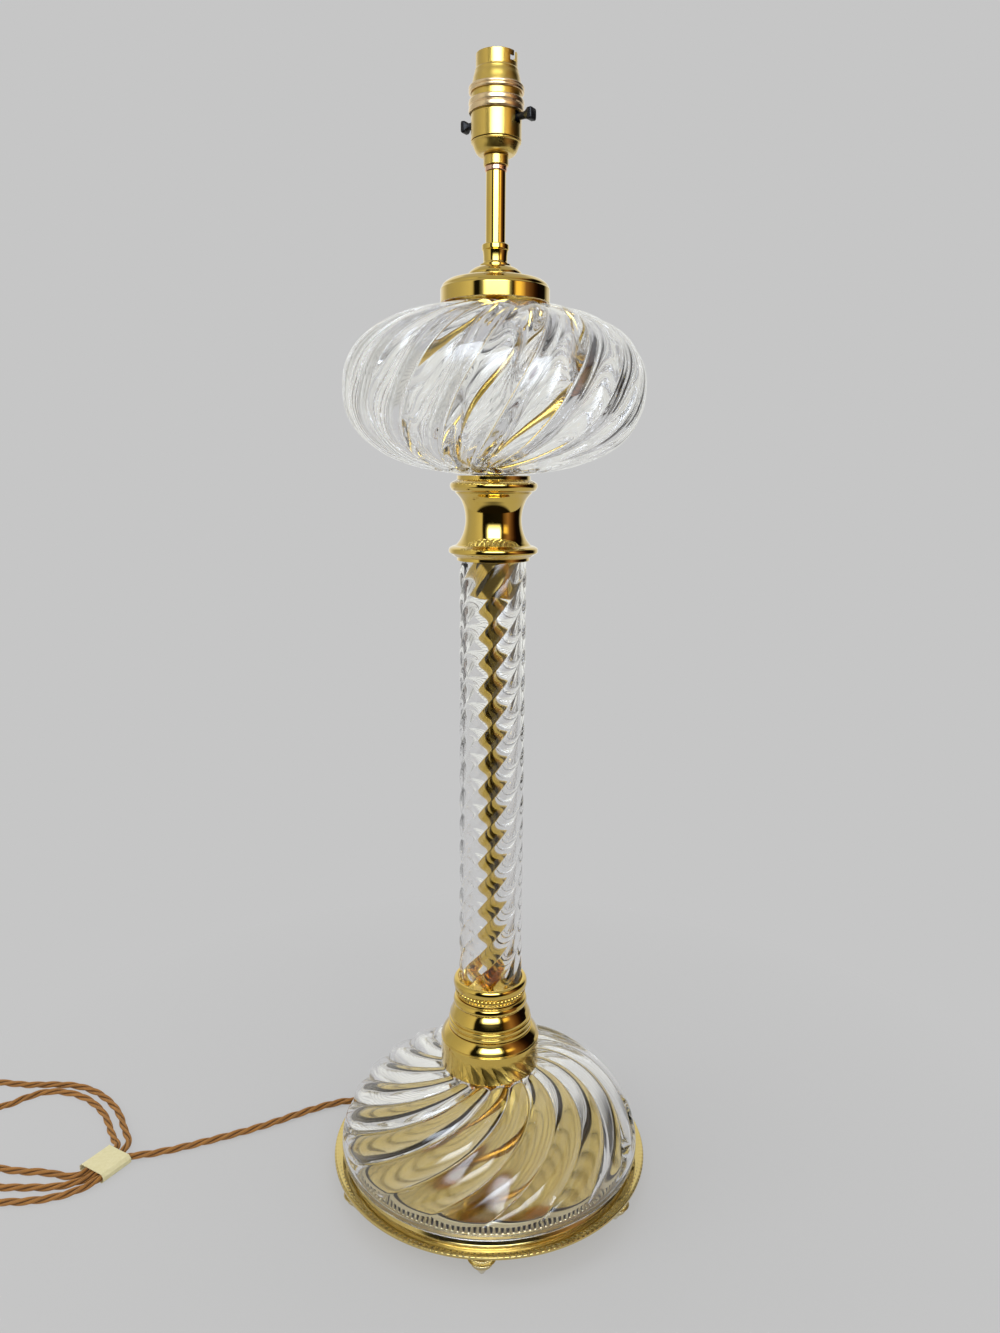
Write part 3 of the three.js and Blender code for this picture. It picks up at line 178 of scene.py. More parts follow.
def turned(name, corners, base=0.0, around=96, steps=5, places=((0.0, 0.0),), wave=None):
    """Turned piece: its outline, with heights above the base, carried round the vertical axis, once
    at each place. wave(angle, radius, height) is added to the radius, for beads and reeds."""
    line, slope = outline(np.asarray(corners, float) + (0.0, base, 0.0), steps)
    if np.sum(line[:, 0] * np.roll(line[:, 1], -1) - np.roll(line[:, 0], -1) * line[:, 1]) < 0:
        line, slope = line[::-1], -slope[::-1]
    angle = np.arange(around) * 2 * np.pi / around
    r, z = line[:, 0, None], line[:, 1, None]
    if wave is not None:
        r = r + wave(angle[None, :], r, z)
    r = np.broadcast_to(r, (len(line), around))
    z = np.broadcast_to(z, (len(line), around))
    ring = np.stack([r * np.cos(angle), r * np.sin(angle), z], axis=-1).reshape(-1, 3)
    out, up = slope[:, 0, None], slope[:, 1, None]
    normal = np.stack(np.broadcast_arrays(out * np.cos(angle), out * np.sin(angle), up), axis=-1)
    faces = wrapped(len(line), around)
    points = np.vstack([ring + (x, y, 0.0) for x, y in places])
    faces = np.vstack([faces + k * len(ring) for k in range(len(places))])
    normals = None if wave is not None else np.tile(normal.reshape(-1, 3), (len(places), 1))
    return mesh(name, points, faces, normals)


def mark(piece, name, values):
    """Gives a piece's points a named value each, which its material reads."""
    layer = piece.data.attributes.new(name, "FLOAT", "POINT")
    layer.data.foreach_set("value", np.asarray(values, float))


def super_quarter(radius, rise, rounding, crown, count):
    """A quarter of a superellipse: radius times the cosine and rise times the sine of an even angle,
    each to the power two over its own rounding."""
    a = np.linspace(0, np.pi / 2, count)
    return radius * np.cos(a) ** (2 / rounding), rise * np.sin(a) ** (2 / crown)


def swirled(name, rows, outside, ribs, samples, round_power=1.0):
    """Pressed glass: rows of radius, height, turn, rib depth and outward direction, so many of them
    outside. Each rib is a rounded ridge, the absolute cosine of half its own angle to the round
    power, and sinks to a sharp valley: the lower the power, the steeper its sides."""
    rows = np.asarray(rows, float)
    around = ribs * samples
    phase = np.arange(around) * 2 * np.pi / around
    ridge = np.abs(np.cos(phase * ribs / 2)) ** round_power
    sink = rows[:, 3, None] * (1 - ridge)
    r = rows[:, 0, None] - sink * rows[:, 4, None]
    z = rows[:, 1, None] - sink * rows[:, 5, None]
    angle = rows[:, 2, None] + phase[None, :]
    points = np.stack([r * np.sin(angle), -r * np.cos(angle), z], axis=-1).reshape(-1, 3)
    piece = mesh(name, points, wrapped(len(rows), around))
    mark(piece, "inner", np.repeat(np.arange(len(rows)) >= outside, around))
    return piece


def facing(r, z):
    """Outward direction along a line of radii and heights, square to its slope."""
    dr, dz = np.gradient(r), np.gradient(z)
    size = np.hypot(dr, dz) + 1e-9
    return dz / size, -dr / size


# Flex

TIE_MIDDLE = (-296.0, -10.0)
TIE_ANGLE = math.radians(-120.0)
TIE_LEVEL = 4.0
# Height of the flex's middle line where it lies on the table.
LOW = 2.9
# Each core's radius, its distance from the middle line, and the least radius in the seams between.
CORE = 1.32
CORE_OUT = 1.48
SEAM = 1.0
TWIST_LENGTH = 44.0
FLEX_STEP = 1.6
FLEX_SIDES = 36


def in_tie(along, across):
    """A place in the tie: along its strands, and across them to the outside of the loops."""
    c, s = math.cos(TIE_ANGLE), math.sin(TIE_ANGLE)
    return (TIE_MIDDLE[0] + along * c - across * s, TIE_MIDDLE[1] + along * s + across * c, TIE_LEVEL)


FLEX_ROUTE = [
    (0, 0, 15.7), (0, 0, 15.0), (-0.9, 1.3, 9), (-3.3, 5, 4.6), (-7.2, 10.8, LOW), (-20, 30, LOW),
    (-38, 53, LOW), (-58, 68, LOW), (-82, 75, LOW), (-100, 75.5, LOW), (-113, 73.5, LOW),
    (-126, 71, LOW), (-140, 65.5, LOW), (-159, 55, LOW), (-178, 43.5, LOW), (-196, 33.5, LOW),
    (-214, 25, LOW), (-232, 17, LOW), (-250, 9.5, LOW), (-268, 3.2, 3.2), in_tie(-14, 7),
    in_tie(-11, 7.1), in_tie(17, 7.6), (-307, -37, 3.4), (-320, -43.5, LOW), (-340, -48.5, LOW),
    (-364, -50, LOW), (-400, -51, LOW), (-440, -52, LOW), (-480, -50, LOW), (-514, -42, LOW),
    (-541, -25, LOW), (-557, 1, LOW), (-559, 30, LOW), (-548, 57, LOW), (-527, 78, LOW),
    (-496, 91, LOW), (-462, 96, LOW), (-430, 94.5, LOW), (-404, 91.5, LOW), (-382, 92, LOW),
    (-362, 90.5, LOW), (-343, 83, LOW), (-326, 70.5, LOW), (-311, 54, LOW), (-299.5, 35, LOW),
    (-289.5, 17, 3.4), in_tie(-17, -2), in_tie(17, 0), (-314, -30, 3.4), (-327, -33.5, LOW),
    (-348, -34.5, LOW), (-372, -34.5, LOW), (-408, -35, LOW), (-444, -36, LOW), (-478, -34, LOW),
    (-508, -26, LOW), (-530, -11, LOW), (-541, 11, LOW), (-539, 36, LOW), (-524, 57, LOW),
    (-500, 69, LOW), (-472, 69, LOW), (-446, 61, LOW), (-424, 57, LOW), (-408, 64, LOW),
    (-396, 75, LOW), (-382, 82, LOW), (-364, 80.5, LOW), (-347, 73.5, LOW), (-332.5, 62.5, LOW),
    (-319, 47.5, LOW), (-309.5, 32, LOW), (-302, 20, 3.4), in_tie(-17.5, -10.2), in_tie(17, -8),
    (-318, -23, 3.4), (-328, -20.8, LOW), (-342, -18, LOW), (-360, -17, LOW), (-382, -13, LOW),
    (-406, -6, LOW), (-428, 3, 4.4), (-444, 9.6, 7.2), (-453, 12, 8.6), (-461.7, 12, 8.6),
]


def smooth_route(points, spacing):
    """A curve through the points: between each two, the blend of four neighbours with knots at the
    square roots of their distances, then points at an even spacing along it."""
    p = np.asarray(points, float)
    p = np.vstack([2 * p[0] - p[1], p, 2 * p[-1] - p[-2]])
    knots = np.concatenate([[0], np.cumsum(np.sqrt(np.linalg.norm(np.diff(p, axis=0), axis=1)))])
    k = np.arange(len(p) - 3)
    a, b, c, d = (knots[k + n][:, None, None] for n in range(4))
    pa, pb, pc, pd = (p[k + n][:, None, :] for n in range(4))
    t = b + (c - b) * np.linspace(0, 1, 24, endpoint=False)[None, :, None]
    q1 = pa * (b - t) / (b - a) + pb * (t - a) / (b - a)
    q2 = pb * (c - t) / (c - b) + pc * (t - b) / (c - b)
    q3 = pc * (d - t) / (d - c) + pd * (t - c) / (d - c)
    w1 = q1 * (c - t) / (c - a) + q2 * (t - a) / (c - a)
    w2 = q2 * (d - t) / (d - b) + q3 * (t - b) / (d - b)
    line = np.vstack([(w1 * (c - t) / (c - b) + w2 * (t - b) / (c - b)).reshape(-1, 3), p[-2]])
    run = np.concatenate([[0], np.cumsum(np.linalg.norm(np.diff(line, axis=0), axis=1))])
    even = np.linspace(0, run[-1], int(run[-1] / spacing) + 1)
    return np.stack([np.interp(even, run, line[:, n]) for n in range(3)], axis=-1), even


def twisted_flex():
    """Three round cores twisted together: a cross-section of three touching circles carried along the
    route and turned once every 44 millimetres. The section's upright swings from the way the flex
    bends under the rod to straight up in its first 24 millimetres."""
    line, run = smooth_route(FLEX_ROUTE, FLEX_STEP)
    along = np.gradient(line, axis=0)
    along /= np.linalg.norm(along, axis=1)[:, None]
    rise = np.clip(run / 24.0, 0, 1)[:, None]
    lift = rise * (0.0, 0.0, 1.0) + (1 - rise) * (-0.555, 0.832, 0.0)
    lift = lift - along * np.sum(lift * along, axis=1)[:, None]
    lift /= np.linalg.norm(lift, axis=1)[:, None]
    across = np.cross(along, lift)
    angle = np.arange(FLEX_SIDES) * 2 * np.pi / FLEX_SIDES
    lobe = (angle + np.pi / 3) % (2 * np.pi / 3) - np.pi / 3
    r = CORE_OUT * np.cos(lobe) + np.sqrt(np.maximum(CORE ** 2 - (CORE_OUT * np.sin(lobe)) ** 2, 0))
    r = np.maximum(r, SEAM)
    turn = angle[None, :] + (run * 2 * np.pi / TWIST_LENGTH)[:, None]
    points = (line[:, None] + across[:, None] * (r * np.cos(turn))[..., None]
              + lift[:, None] * (r * np.sin(turn))[..., None])
    uv = np.stack(np.broadcast_arrays(angle[None, :] / (2 * np.pi), run[:, None] * 0.001), axis=-1)
    faces = capped(wrapped(len(line), FLEX_SIDES, closed=False), len(line), FLEX_SIDES)
    piece = mesh("fabric_flex", points.reshape(-1, 3), faces, uv=uv.reshape(-1, 2))
    mark(piece, "seam", np.tile(np.clip((2.3 - r) / 1.1, 0, 1), len(line)))
    return piece, line, run[-1]


flex, flex_line, flex_length = twisted_flex()
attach(flex, "lamp")
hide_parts("flex_lead", "flex_loops")


# Finishes

# The Mix node's own numbers for its two colours and for their blend.
COLOUR_A, COLOUR_B, BLEND = 6, 7, 2


def linear(code):
    """An sRGB hex colour as linear red, green, blue and alpha."""
    v = np.array([int(code[i:i + 2], 16) for i in (1, 3, 5)]) / 255.0
    v = np.where(v <= 0.04045, v / 12.92, ((v + 0.055) / 1.055) ** 2.4)
    return (*v.tolist(), 1.0)


def add(tree, kind, feeds=(), **settings):
    """Adds a node. settings are its own properties, or its sockets where the name is a socket's.
    feeds are pairs: a node, for its first output, or another output socket or a value, and the name
    or number of the input it goes to."""
    made = tree.nodes.new(kind)
    for key, value in settings.items():
        if hasattr(made, key):
            setattr(made, key, value)
        else:
            made.inputs[key.replace("_", " ")].default_value = value
    for source, name in feeds:
        source = source.outputs[0] if isinstance(source, bpy.types.Node) else source
        if isinstance(source, bpy.types.NodeSocket):
            tree.links.new(source, made.inputs[name])
        else:
            made.inputs[name].default_value = source
    return made


def finish(name, **shader):
    """A new material with its Principled shader, ready for the nodes that vary it."""
    material = bpy.data.materials.new(name)
    material.use_nodes = True
    tree = material.node_tree
    principled = tree.nodes["Principled BSDF"]
    for key, value in shader.items():
        principled.inputs[key.replace("_", " ")].default_value = value
    return material, tree, principled


def object_place(tree, **settings):
    """Object coordinates, in metres, through a mapping that sets a pattern's stretch."""
    place = add(tree, "ShaderNodeTexCoord")
    return add(tree, "ShaderNodeMapping", [(place.outputs["Object"], "Vector")], **settings)


def beyond(tree, radius, width, inside, outside, blend="LINEAR"):
    """A value that goes from inside to outside over a width past a radius from the lamp's axis, both
    in metres."""
    place = object_place(tree, Scale=(1.0, 1.0, 0.0))
    out = add(tree, "ShaderNodeVectorMath", [(place, 0)], operation="LENGTH")
    share = add(tree, "ShaderNodeMapRange", [(out.outputs["Value"], "Value")], interpolation_type=blend,
                From_Min=radius, From_Max=radius + width, To_Min=inside, To_Max=outside)
    return share


def mottled(tree, shader, one, other, scale):
    """Blends the base colour from one hex colour to another by noise of so many waves to the metre,
    and gives the noise."""
    cloud = add(tree, "ShaderNodeTexNoise", [(object_place(tree), "Vector")],
                Scale=scale, Detail=4.0, Roughness=0.6)
    tone = add(tree, "ShaderNodeMix", [(cloud, "Factor"), (linear(one), COLOUR_A),
                                       (linear(other), COLOUR_B)], data_type="RGBA")
    tree.links.new(tone.outputs[BLEND], shader.inputs["Base Color"])
    return cloud


def brass(name, pale, deep, sheen, haze, lines=0.0, coat=0.04):
    """Brass, spun or turned on a lathe, polished and lacquered. pale and deep are its colours where
    the lacquer is clear and where it has yellowed, sheen and haze its least and most roughness,
    lines the height in metres of the lathe's fine rings, where they are left: they blur the
    reflection up and down. The clear coat is the lacquer, which whitens the highlights."""
    material, tree, shader = finish(name, Metallic=1.0, Coat_Weight=0.7, Coat_Roughness=coat)
    rough = add(tree, "ShaderNodeMapRange", [(mottled(tree, shader, pale, deep, 38.0), "Value")],
                From_Min=0.3, From_Max=0.75, To_Min=sheen, To_Max=haze)
    tree.links.new(rough.outputs["Result"], shader.inputs["Roughness"])
    if lines:
        rings = object_place(tree, Scale=(0.0, 0.0, 1.0))
        fine = add(tree, "ShaderNodeTexNoise", [(rings, "Vector")], Scale=900.0, Detail=2.0)
        bump = add(tree, "ShaderNodeBump", [(fine, "Height")], Strength=0.25, Distance=lines)
        tree.links.new(bump.outputs["Normal"], shader.inputs["Normal"])
    return material


def paint_shade_within(material, radius, colour):
    """Painted shade: blends the base colour to a darker one nearer to the lamp's axis than that
    distance in metres.
    """
    tree = material.node_tree
    shader = tree.nodes["Principled BSDF"]
    before = shader.inputs["Base Color"].links[0].from_socket
    within = beyond(tree, radius, 0.0005, 1.0, 0.0)
    tone = add(tree, "ShaderNodeMix", [(within, "Factor"), (before, COLOUR_A),
                                       (linear(colour), COLOUR_B)], data_type="RGBA")
    tree.links.new(tone.outputs[BLEND], shader.inputs["Base Color"])


def polish_beyond(material, radius, sheen):
    """Brings the roughness down to sheen outside that distance in metres from the lamp's axis."""
    tree = material.node_tree
    shader = tree.nodes["Principled BSDF"]
    before = shader.inputs["Roughness"].links[0].from_socket
    outside = beyond(tree, radius - 0.001, 0.001, 0.0, 1.0)
    rough = add(tree, "ShaderNodeMix", [(outside, "Factor"), (before, "A"), (sheen, "B")])
    tree.links.new(rough.outputs[0], shader.inputs["Roughness"])


def radial_marks(material, radius, count, height):
    """Shallow marks like spokes, of that height in metres, outside that distance from the axis: the
    rolling tool leaves them on a turned-down edge, and they break its highlights into dashes."""
    tree = material.node_tree
    shader = tree.nodes["Principled BSDF"]
    place = object_place(tree, Scale=(1.0, 1.0, 0.0))
    split = add(tree, "ShaderNodeSeparateXYZ", [(place, "Vector")])
    turn = add(tree, "ShaderNodeMath", [(split.outputs["Y"], 0), (split.outputs["X"], 1)],
               operation="ARCTAN2")
    spokes = add(tree, "ShaderNodeMath", [(turn, 0), (count, 1)], operation="MULTIPLY")
    wave = add(tree, "ShaderNodeMath", [(spokes, 0)], operation="SINE")
    share = beyond(tree, radius, 0.001, 0.0, 1.0, "SMOOTHSTEP")
    marks = add(tree, "ShaderNodeMath", [(wave, 0), (share, 1)], operation="MULTIPLY")
    bump = add(tree, "ShaderNodeBump", [(marks, "Height")], Strength=1.0, Distance=height)
    tree.links.new(bump.outputs["Normal"], shader.inputs["Normal"])


# Polished and lacquered: a mirror in deep greenish gold.
POLISHED = brass("polished_lacquered_brass", "#E6C865", "#D6B044", 0.05, 0.10)
# Spun sheet, lightly brushed before lacquer: the plate's broad soft sheen. Its flange is polished
# brighter, and its edge has the marks of the rolling tool.
SPUN = brass("spun_brass_plate", "#DEC880", "#CBB062", 0.12, 0.24)
polish_beyond(SPUN, 0.1105, 0.10)
radial_marks(SPUN, 0.1150, 180, 0.00010)
# Satin brass of the lampholder: paler and more even, with blurred reflections.
SATIN = brass("satin_lampholder_brass", "#E3C466", "#D4B04A", 0.26, 0.34, 0.00004, 0.2)
# Rings of the lampholder, washed in a paler, pinker alloy.
RING_BRASS = brass("pale_ring_brass", "#F4DCB0", "#EAC893", 0.24, 0.32)
# The reeded strip, etched and left satin: pale, with broad soft highlights on its reeds. Painted
# shade darkens it in the gaps between them and on its inner face.
ETCHED = brass("etched_reeded_brass", "#F2E6C0", "#E6D4A0", 0.34, 0.44, 0.0, 0.35)
# Painted shade: dark brass within 105.3 millimetres of the axis, where the gaps fall into shadow.
paint_shade_within(ETCHED, 0.1053, "#3A2810")
# Cast feet, lacquered over a duller cut surface.
CAST = brass("cast_brass_feet", "#DCCB94", "#BEAB70", 0.16, 0.24, 0.0, 0.12)
# The rod inside, drawn and left unpolished: duller, with fine rings across it.
DRAWN = brass("drawn_brass_tube", "#CFA750", "#B48C40", 0.24, 0.36, 0.00002)


def pressed_glass(name, size, height):
    """Lead-free pressed glass, fire polished: clear and colourless, with a waviness left by the
    mould, a quarter as high outside as inside. size and height in metres are the waves'."""
    material, tree, shader = finish(name, Roughness=0.0, IOR=1.51, Transmission_Weight=1.0)
    shader.inputs["Base Color"].default_value = linear("#FEFEFE")
    place = object_place(tree)
    wave = add(tree, "ShaderNodeTexNoise", [(place, "Vector")], Scale=1.0 / size, Detail=0.0)
    side = add(tree, "ShaderNodeAttribute", attribute_name="inner")
    share = add(tree, "ShaderNodeMapRange", [(side.outputs["Fac"], "Value")],
                From_Min=0.0, From_Max=1.0, To_Min=0.25, To_Max=1.0)
    ripple = add(tree, "ShaderNodeMath", [(wave, 0), (share, 1)], operation="MULTIPLY")
    bump = add(tree, "ShaderNodeBump", [(ripple, "Height")], Strength=1.0, Distance=height)
    tree.links.new(bump.outputs["Normal"], shader.inputs["Normal"])
    return material


# The font's glass is the most rippled: its reflections break into many thin lines.
FONT_GLASS = pressed_glass("rippled_pressed_glass", 0.018, 0.0006)
# The foot's and the column's glass is pressed against a smoother mould.
GLASS = pressed_glass("pressed_clear_glass", 0.020, 0.0004)


def fabric():
    """Braided art-silk over three twisted cores: old gold with a silky sheen. The braid is 0.4 mm and
    is drawn at 0.8 mm so that it shows, as two crossing sets of threads on the flex's own map. The
    seams between the cores are dark, because little light gets in."""
    material, tree, shader = finish("old_gold_braid", Roughness=0.62, Sheen_Weight=0.35,
                                    Sheen_Roughness=0.4)
    shader.inputs["Sheen Tint"].default_value = linear("#F0C890")
    shader.inputs["Specular IOR Level"].default_value = 0.35
    along = add(tree, "ShaderNodeUVMap", uv_map="along")
    sets = []
    for way in (1.0, -1.0):
        stretch = add(tree, "ShaderNodeMapping", [(along.outputs["UV"], "Vector")],
                      Scale=(18.0, way * 1250.0, 1.0))
        split = add(tree, "ShaderNodeSeparateXYZ", [(stretch, "Vector")])
        both = add(tree, "ShaderNodeMath", [(split.outputs["X"], 0), (split.outputs["Y"], 1)],
                   operation="ADD")
        turn = add(tree, "ShaderNodeMath", [(both, 0), (2 * math.pi, 1)], operation="MULTIPLY")
        wave = add(tree, "ShaderNodeMath", [(turn, 0)], operation="SINE")
        sets.append(wave)
    weave = add(tree, "ShaderNodeMath", [(sets[0], 0), (sets[1], 1)], operation="MAXIMUM")
    place = object_place(tree)
    patch = add(tree, "ShaderNodeTexNoise", [(place, "Vector")], Scale=160.0, Detail=3.0)
    mottle = add(tree, "ShaderNodeMapRange", [(patch, "Value")],
                 From_Min=0.3, From_Max=0.7, To_Min=0.0, To_Max=1.0)
    ground = add(tree, "ShaderNodeMix", [(mottle, "Factor"),
                                         (linear("#7E4C1C"), COLOUR_A), (linear("#A06626"), COLOUR_B)],
                 data_type="RGBA")
    thread = add(tree, "ShaderNodeMapRange", [(weave, "Value")],
                 From_Min=-0.4, From_Max=1.0, To_Min=0.0, To_Max=0.5)
    tone = add(tree, "ShaderNodeMix", [(thread, "Factor"),
                                       (ground.outputs[BLEND], COLOUR_A), (linear("#D09A50"), COLOUR_B)],
               data_type="RGBA")
    seam = add(tree, "ShaderNodeAttribute", attribute_name="seam")
    shade = add(tree, "ShaderNodeMix", [(seam.outputs["Fac"], "Factor"), (tone.outputs[BLEND], COLOUR_A),
                                        (linear("#33190A"), COLOUR_B)], data_type="RGBA")
    tree.links.new(shade.outputs[BLEND], shader.inputs["Base Color"])
    bump = add(tree, "ShaderNodeBump", [(weave, "Height")], Strength=0.5, Distance=0.0002)
    tree.links.new(bump.outputs["Normal"], shader.inputs["Normal"])
    return material


def speckled(name, dark, pale, roughness, size, height, **shader):
    """A plain material with a fine uneven skin: noise of that size in metres blends the two colours
    and raises the surface by that height in metres."""
    material, tree, principled = finish(name, Roughness=roughness, **shader)
    grain = mottled(tree, principled, dark, pale, 1.0 / size)
    bump = add(tree, "ShaderNodeBump", [(grain, "Height")], Strength=0.6, Distance=height)
    tree.links.new(bump.outputs["Normal"], principled.inputs["Normal"])
    return material


BRAID = fabric()
# Compression-moulded black plastic: deep, with a soft gloss and a faint mould texture.
MOULDED = speckled("moulded_black_plastic", "#06070C", "#0F1016", 0.42, 0.0012, 0.00003)
MOULDED.node_tree.nodes["Principled BSDF"].inputs["Specular IOR Level"].default_value = 0.3
# Creped masking tape: pale yellow, dry, with small wrinkles across it.
CREPE = speckled("creped_paper_tape", "#D9CF98", "#EFE7BE", 0.82, 0.0022, 0.0004)
# Bright zinc plating over turned steel.
ZINC = speckled("zinc_plated_steel", "#A9ACB0", "#C2C4C6", 0.28, 0.004, 0.00002, Metallic=1.0)
# Polished copper washer: pale pink between two brass pieces.
COPPER = speckled("polished_copper", "#E2B294", "#EBC3A8", 0.22, 0.004, 0.00002, Metallic=1.0)
# Cork-coloured rubber gasket.
RUBBER = speckled("moulded_rubber_gasket", "#B9AD92", "#CFC4A8", 0.85, 0.0015, 0.0001)


def dress(piece, material, *nodes):
    """Puts a material on a piece and, where it stands for nodes, hides them and rides on their body."""
    piece.data.materials.clear()
    piece.data.materials.append(material)
    if nodes:
        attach(piece, BODY_OF.get(nodes[0], "lamp"))
        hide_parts(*nodes)
    return piece


def lathed(node, name, material, corners, **shape):
    """A turned piece in a node's place. The heights of its corners are above the node's bottom."""
    return dress(turned(name, corners, bottom_of(node), **shape), material, node)


def rod_tube(node, name, steps=3):
    """A plain brass tube round the rod, from its node's bottom to its top."""
    low, top = bottom_of(node), top_of(node)
    corners = [(ROD_HOLE, low, 0.1), (TUBE, low, 0.3), (TUBE, top, 0.3), (ROD_HOLE, top, 0.1)]
    return dress(turned(name, corners, around=64, steps=steps), POLISHED, node)


BODY_OF = {"shade_ring_lower": "lower_ring", "shade_ring_upper": "upper_ring", "switch_bar": "switch"}
dress(flex, BRAID)


# Foot

dress(turned("spun_base_plate", [
    (ROD_HOLE, PLATE_TOP, 0.1), (106.8, PLATE_TOP, 0.6), (109.3, FLANGE, 0.9), (117.9, FLANGE, 0.6),
    (118.5, FLANGE + 0.25, 0.4), (119.2, FLANGE - 0.2, 0.5), (119.2, PLATE_FOOT, 0.4),
    (117.7, PLATE_FOOT, 0.3), (117.7, FLANGE - 1.5, 0.2), (108.2, FLANGE - 1.5, 0.3),
    (106.2, PLATE_TOP - 1.5, 0.5), (ROD_HOLE, PLATE_TOP - 1.5, 0.1)],
    around=360, steps=6), SPUN, "base_plate")

REEDS = 180
REED_DEPTH = 1.6


def reeds(angle, r, z):
    """Upright reeds two degrees apart, on the outside of the strip only, with deep narrow gaps that
    widen upwards."""
    widening = 0.4 + 1.4 * np.clip((z - GALLERY - 2.4) / 3.4, 0, 1)
    gap = 1 - np.abs(np.cos(angle * REEDS / 2)) ** widening
    return np.where((r > 105.9) & (z > GALLERY + 2.3), -REED_DEPTH * gap, 0.0)


lathed("gallery_ring", "reeded_gallery", ETCHED, [
    (104.2, 0, 0.2), (106.2, 0, 0.2), (106.2, 2.2, 0.2), (106.15, 2.6, 0.2), (106.15, 4.2, 0.2),
    (106.15, 6.1, 0.2), (105.85, 6.3, 0.1), (105.85, 9.2, 0.2),
    (104.2, 9.2, 0.2)], around=12 * REEDS, steps=3, wave=reeds)


# The six feet stand on one circle, the first a little to the left of the front.
FOOT_CIRCLE = 108.5
FOOT_BEARINGS = np.radians(-2.3 + 60 * np.arange(6))
FOOT_PLACES = [(FOOT_CIRCLE * math.sin(a), -FOOT_CIRCLE * math.cos(a)) for a in FOOT_BEARINGS]


def foot_beads(angle, r, z):
    """Two rows of beads round the foot, twenty-four and thirty to a row: hollows between beads, each
    the fall of the cosine, which fade up and down as a bell curve does."""
    low = np.exp(-((z - 8.5) / 0.9) ** 2) * (1 - np.abs(np.cos(angle * 24 / 2)) ** 0.7)
    high = np.exp(-((z - 14.4) / 1.1) ** 2) * (1 - np.abs(np.cos(angle * 30 / 2)) ** 0.7)
    return np.where(r > 4.5, -1.4 * (low + high), 0.0)


FOOT_LINE = [
    (0.01, 0, 0.01), (1.4, 0, 0.5), (5.6, 6.4, 0.2), (6.0, 7.0, 0.2), (7.2, 7.7, 0.4), (7.9, 8.7, 0.5),
    (7.5, 9.6, 0.3), (7.9, 9.9, 0.2), (10.2, 12.6, 0.3), (9.9, 13.2, 0.3), (8.3, 13.4, 0.2),
    (9.0, 13.9, 0.3), (9.2, 14.8, 0.5), (8.2, 15.8, 0.4), (4.6, 16.3, 0.8), (4.0, 17.2, 0.5),
    (4.0, 19.2, 0.3), (0.01, 19.2, 0.01)]
foot = turned("beaded_feet", FOOT_LINE, around=240, steps=3, places=FOOT_PLACES, wave=foot_beads)
dress(foot, CAST, *["foot_%d" % k for k in range(1, 7)])

DOME_TOP = top_of("glass_foot")
DOME_RISE = 61.4
DOME_WALL = 5.0
DOME_NECK = 14.0
DOME_RIB_DEPTH = 4.4


def dome_turn(r):
    """How far the foot's ribs have turned: ninety-two degrees in all, at an even rate of the angle
    whose sine is the radius."""
    return np.radians(92) * (1 - np.arcsin(np.minimum(r / DOME_RADIUS, 1)) / (np.pi / 2))


def plain(radius, height, turn):
    """One row of glass without ribs."""
    return [[radius, height, turn, 0, 1, 0]]


def glass_foot():
    """A hollow dome: a superellipse outside, with ribs that rise out of its plain rim, and a smaller
    smooth one inside."""
    r, z = super_quarter(DOME_RADIUS, DOME_RISE, 3.0, 1.8, 130)
    keep = r > 36
    r, z = r[keep], z[keep]
    fade = np.clip((z - 7.0) / 13.0, 0, 1) ** 0.8
    depth = DOME_RIB_DEPTH * fade * np.minimum(1, r / DOME_RADIUS * 1.6)
    outer = np.stack([r, DOME_BAND + z, dome_turn(r), depth, *facing(r, z)], axis=-1)
    neck = float(dome_turn(r[-1]))
    r, z = super_quarter(DOME_RADIUS - DOME_WALL, DOME_RISE - 7, 2.7, 1.8, 56)
    keep = r > DOME_NECK
    r, z = r[keep][::-1], z[keep][::-1]
    flat = np.zeros_like(r)
    inner = np.stack([r, DOME_BAND + z, dome_turn(r), flat, flat + 1, flat], axis=-1)
    rows = np.vstack([
        plain(108.7, FOOT_SEAT, 0), plain(111.2, FOOT_SEAT, 0), plain(112.8, FOOT_SEAT + 0.3, 0),
        plain(DOME_RADIUS, FOOT_SEAT + 0.9, 0), outer, plain(35, DOME_TOP, neck),
        plain(DOME_NECK, DOME_TOP, neck), plain(DOME_NECK, DOME_TOP - DOME_WALL, neck), inner])
    return swirled("swirled_glass_foot", rows, 6 + len(outer), 18, 28, 0.72)


dress(glass_foot(), GLASS, "glass_foot")


# Column

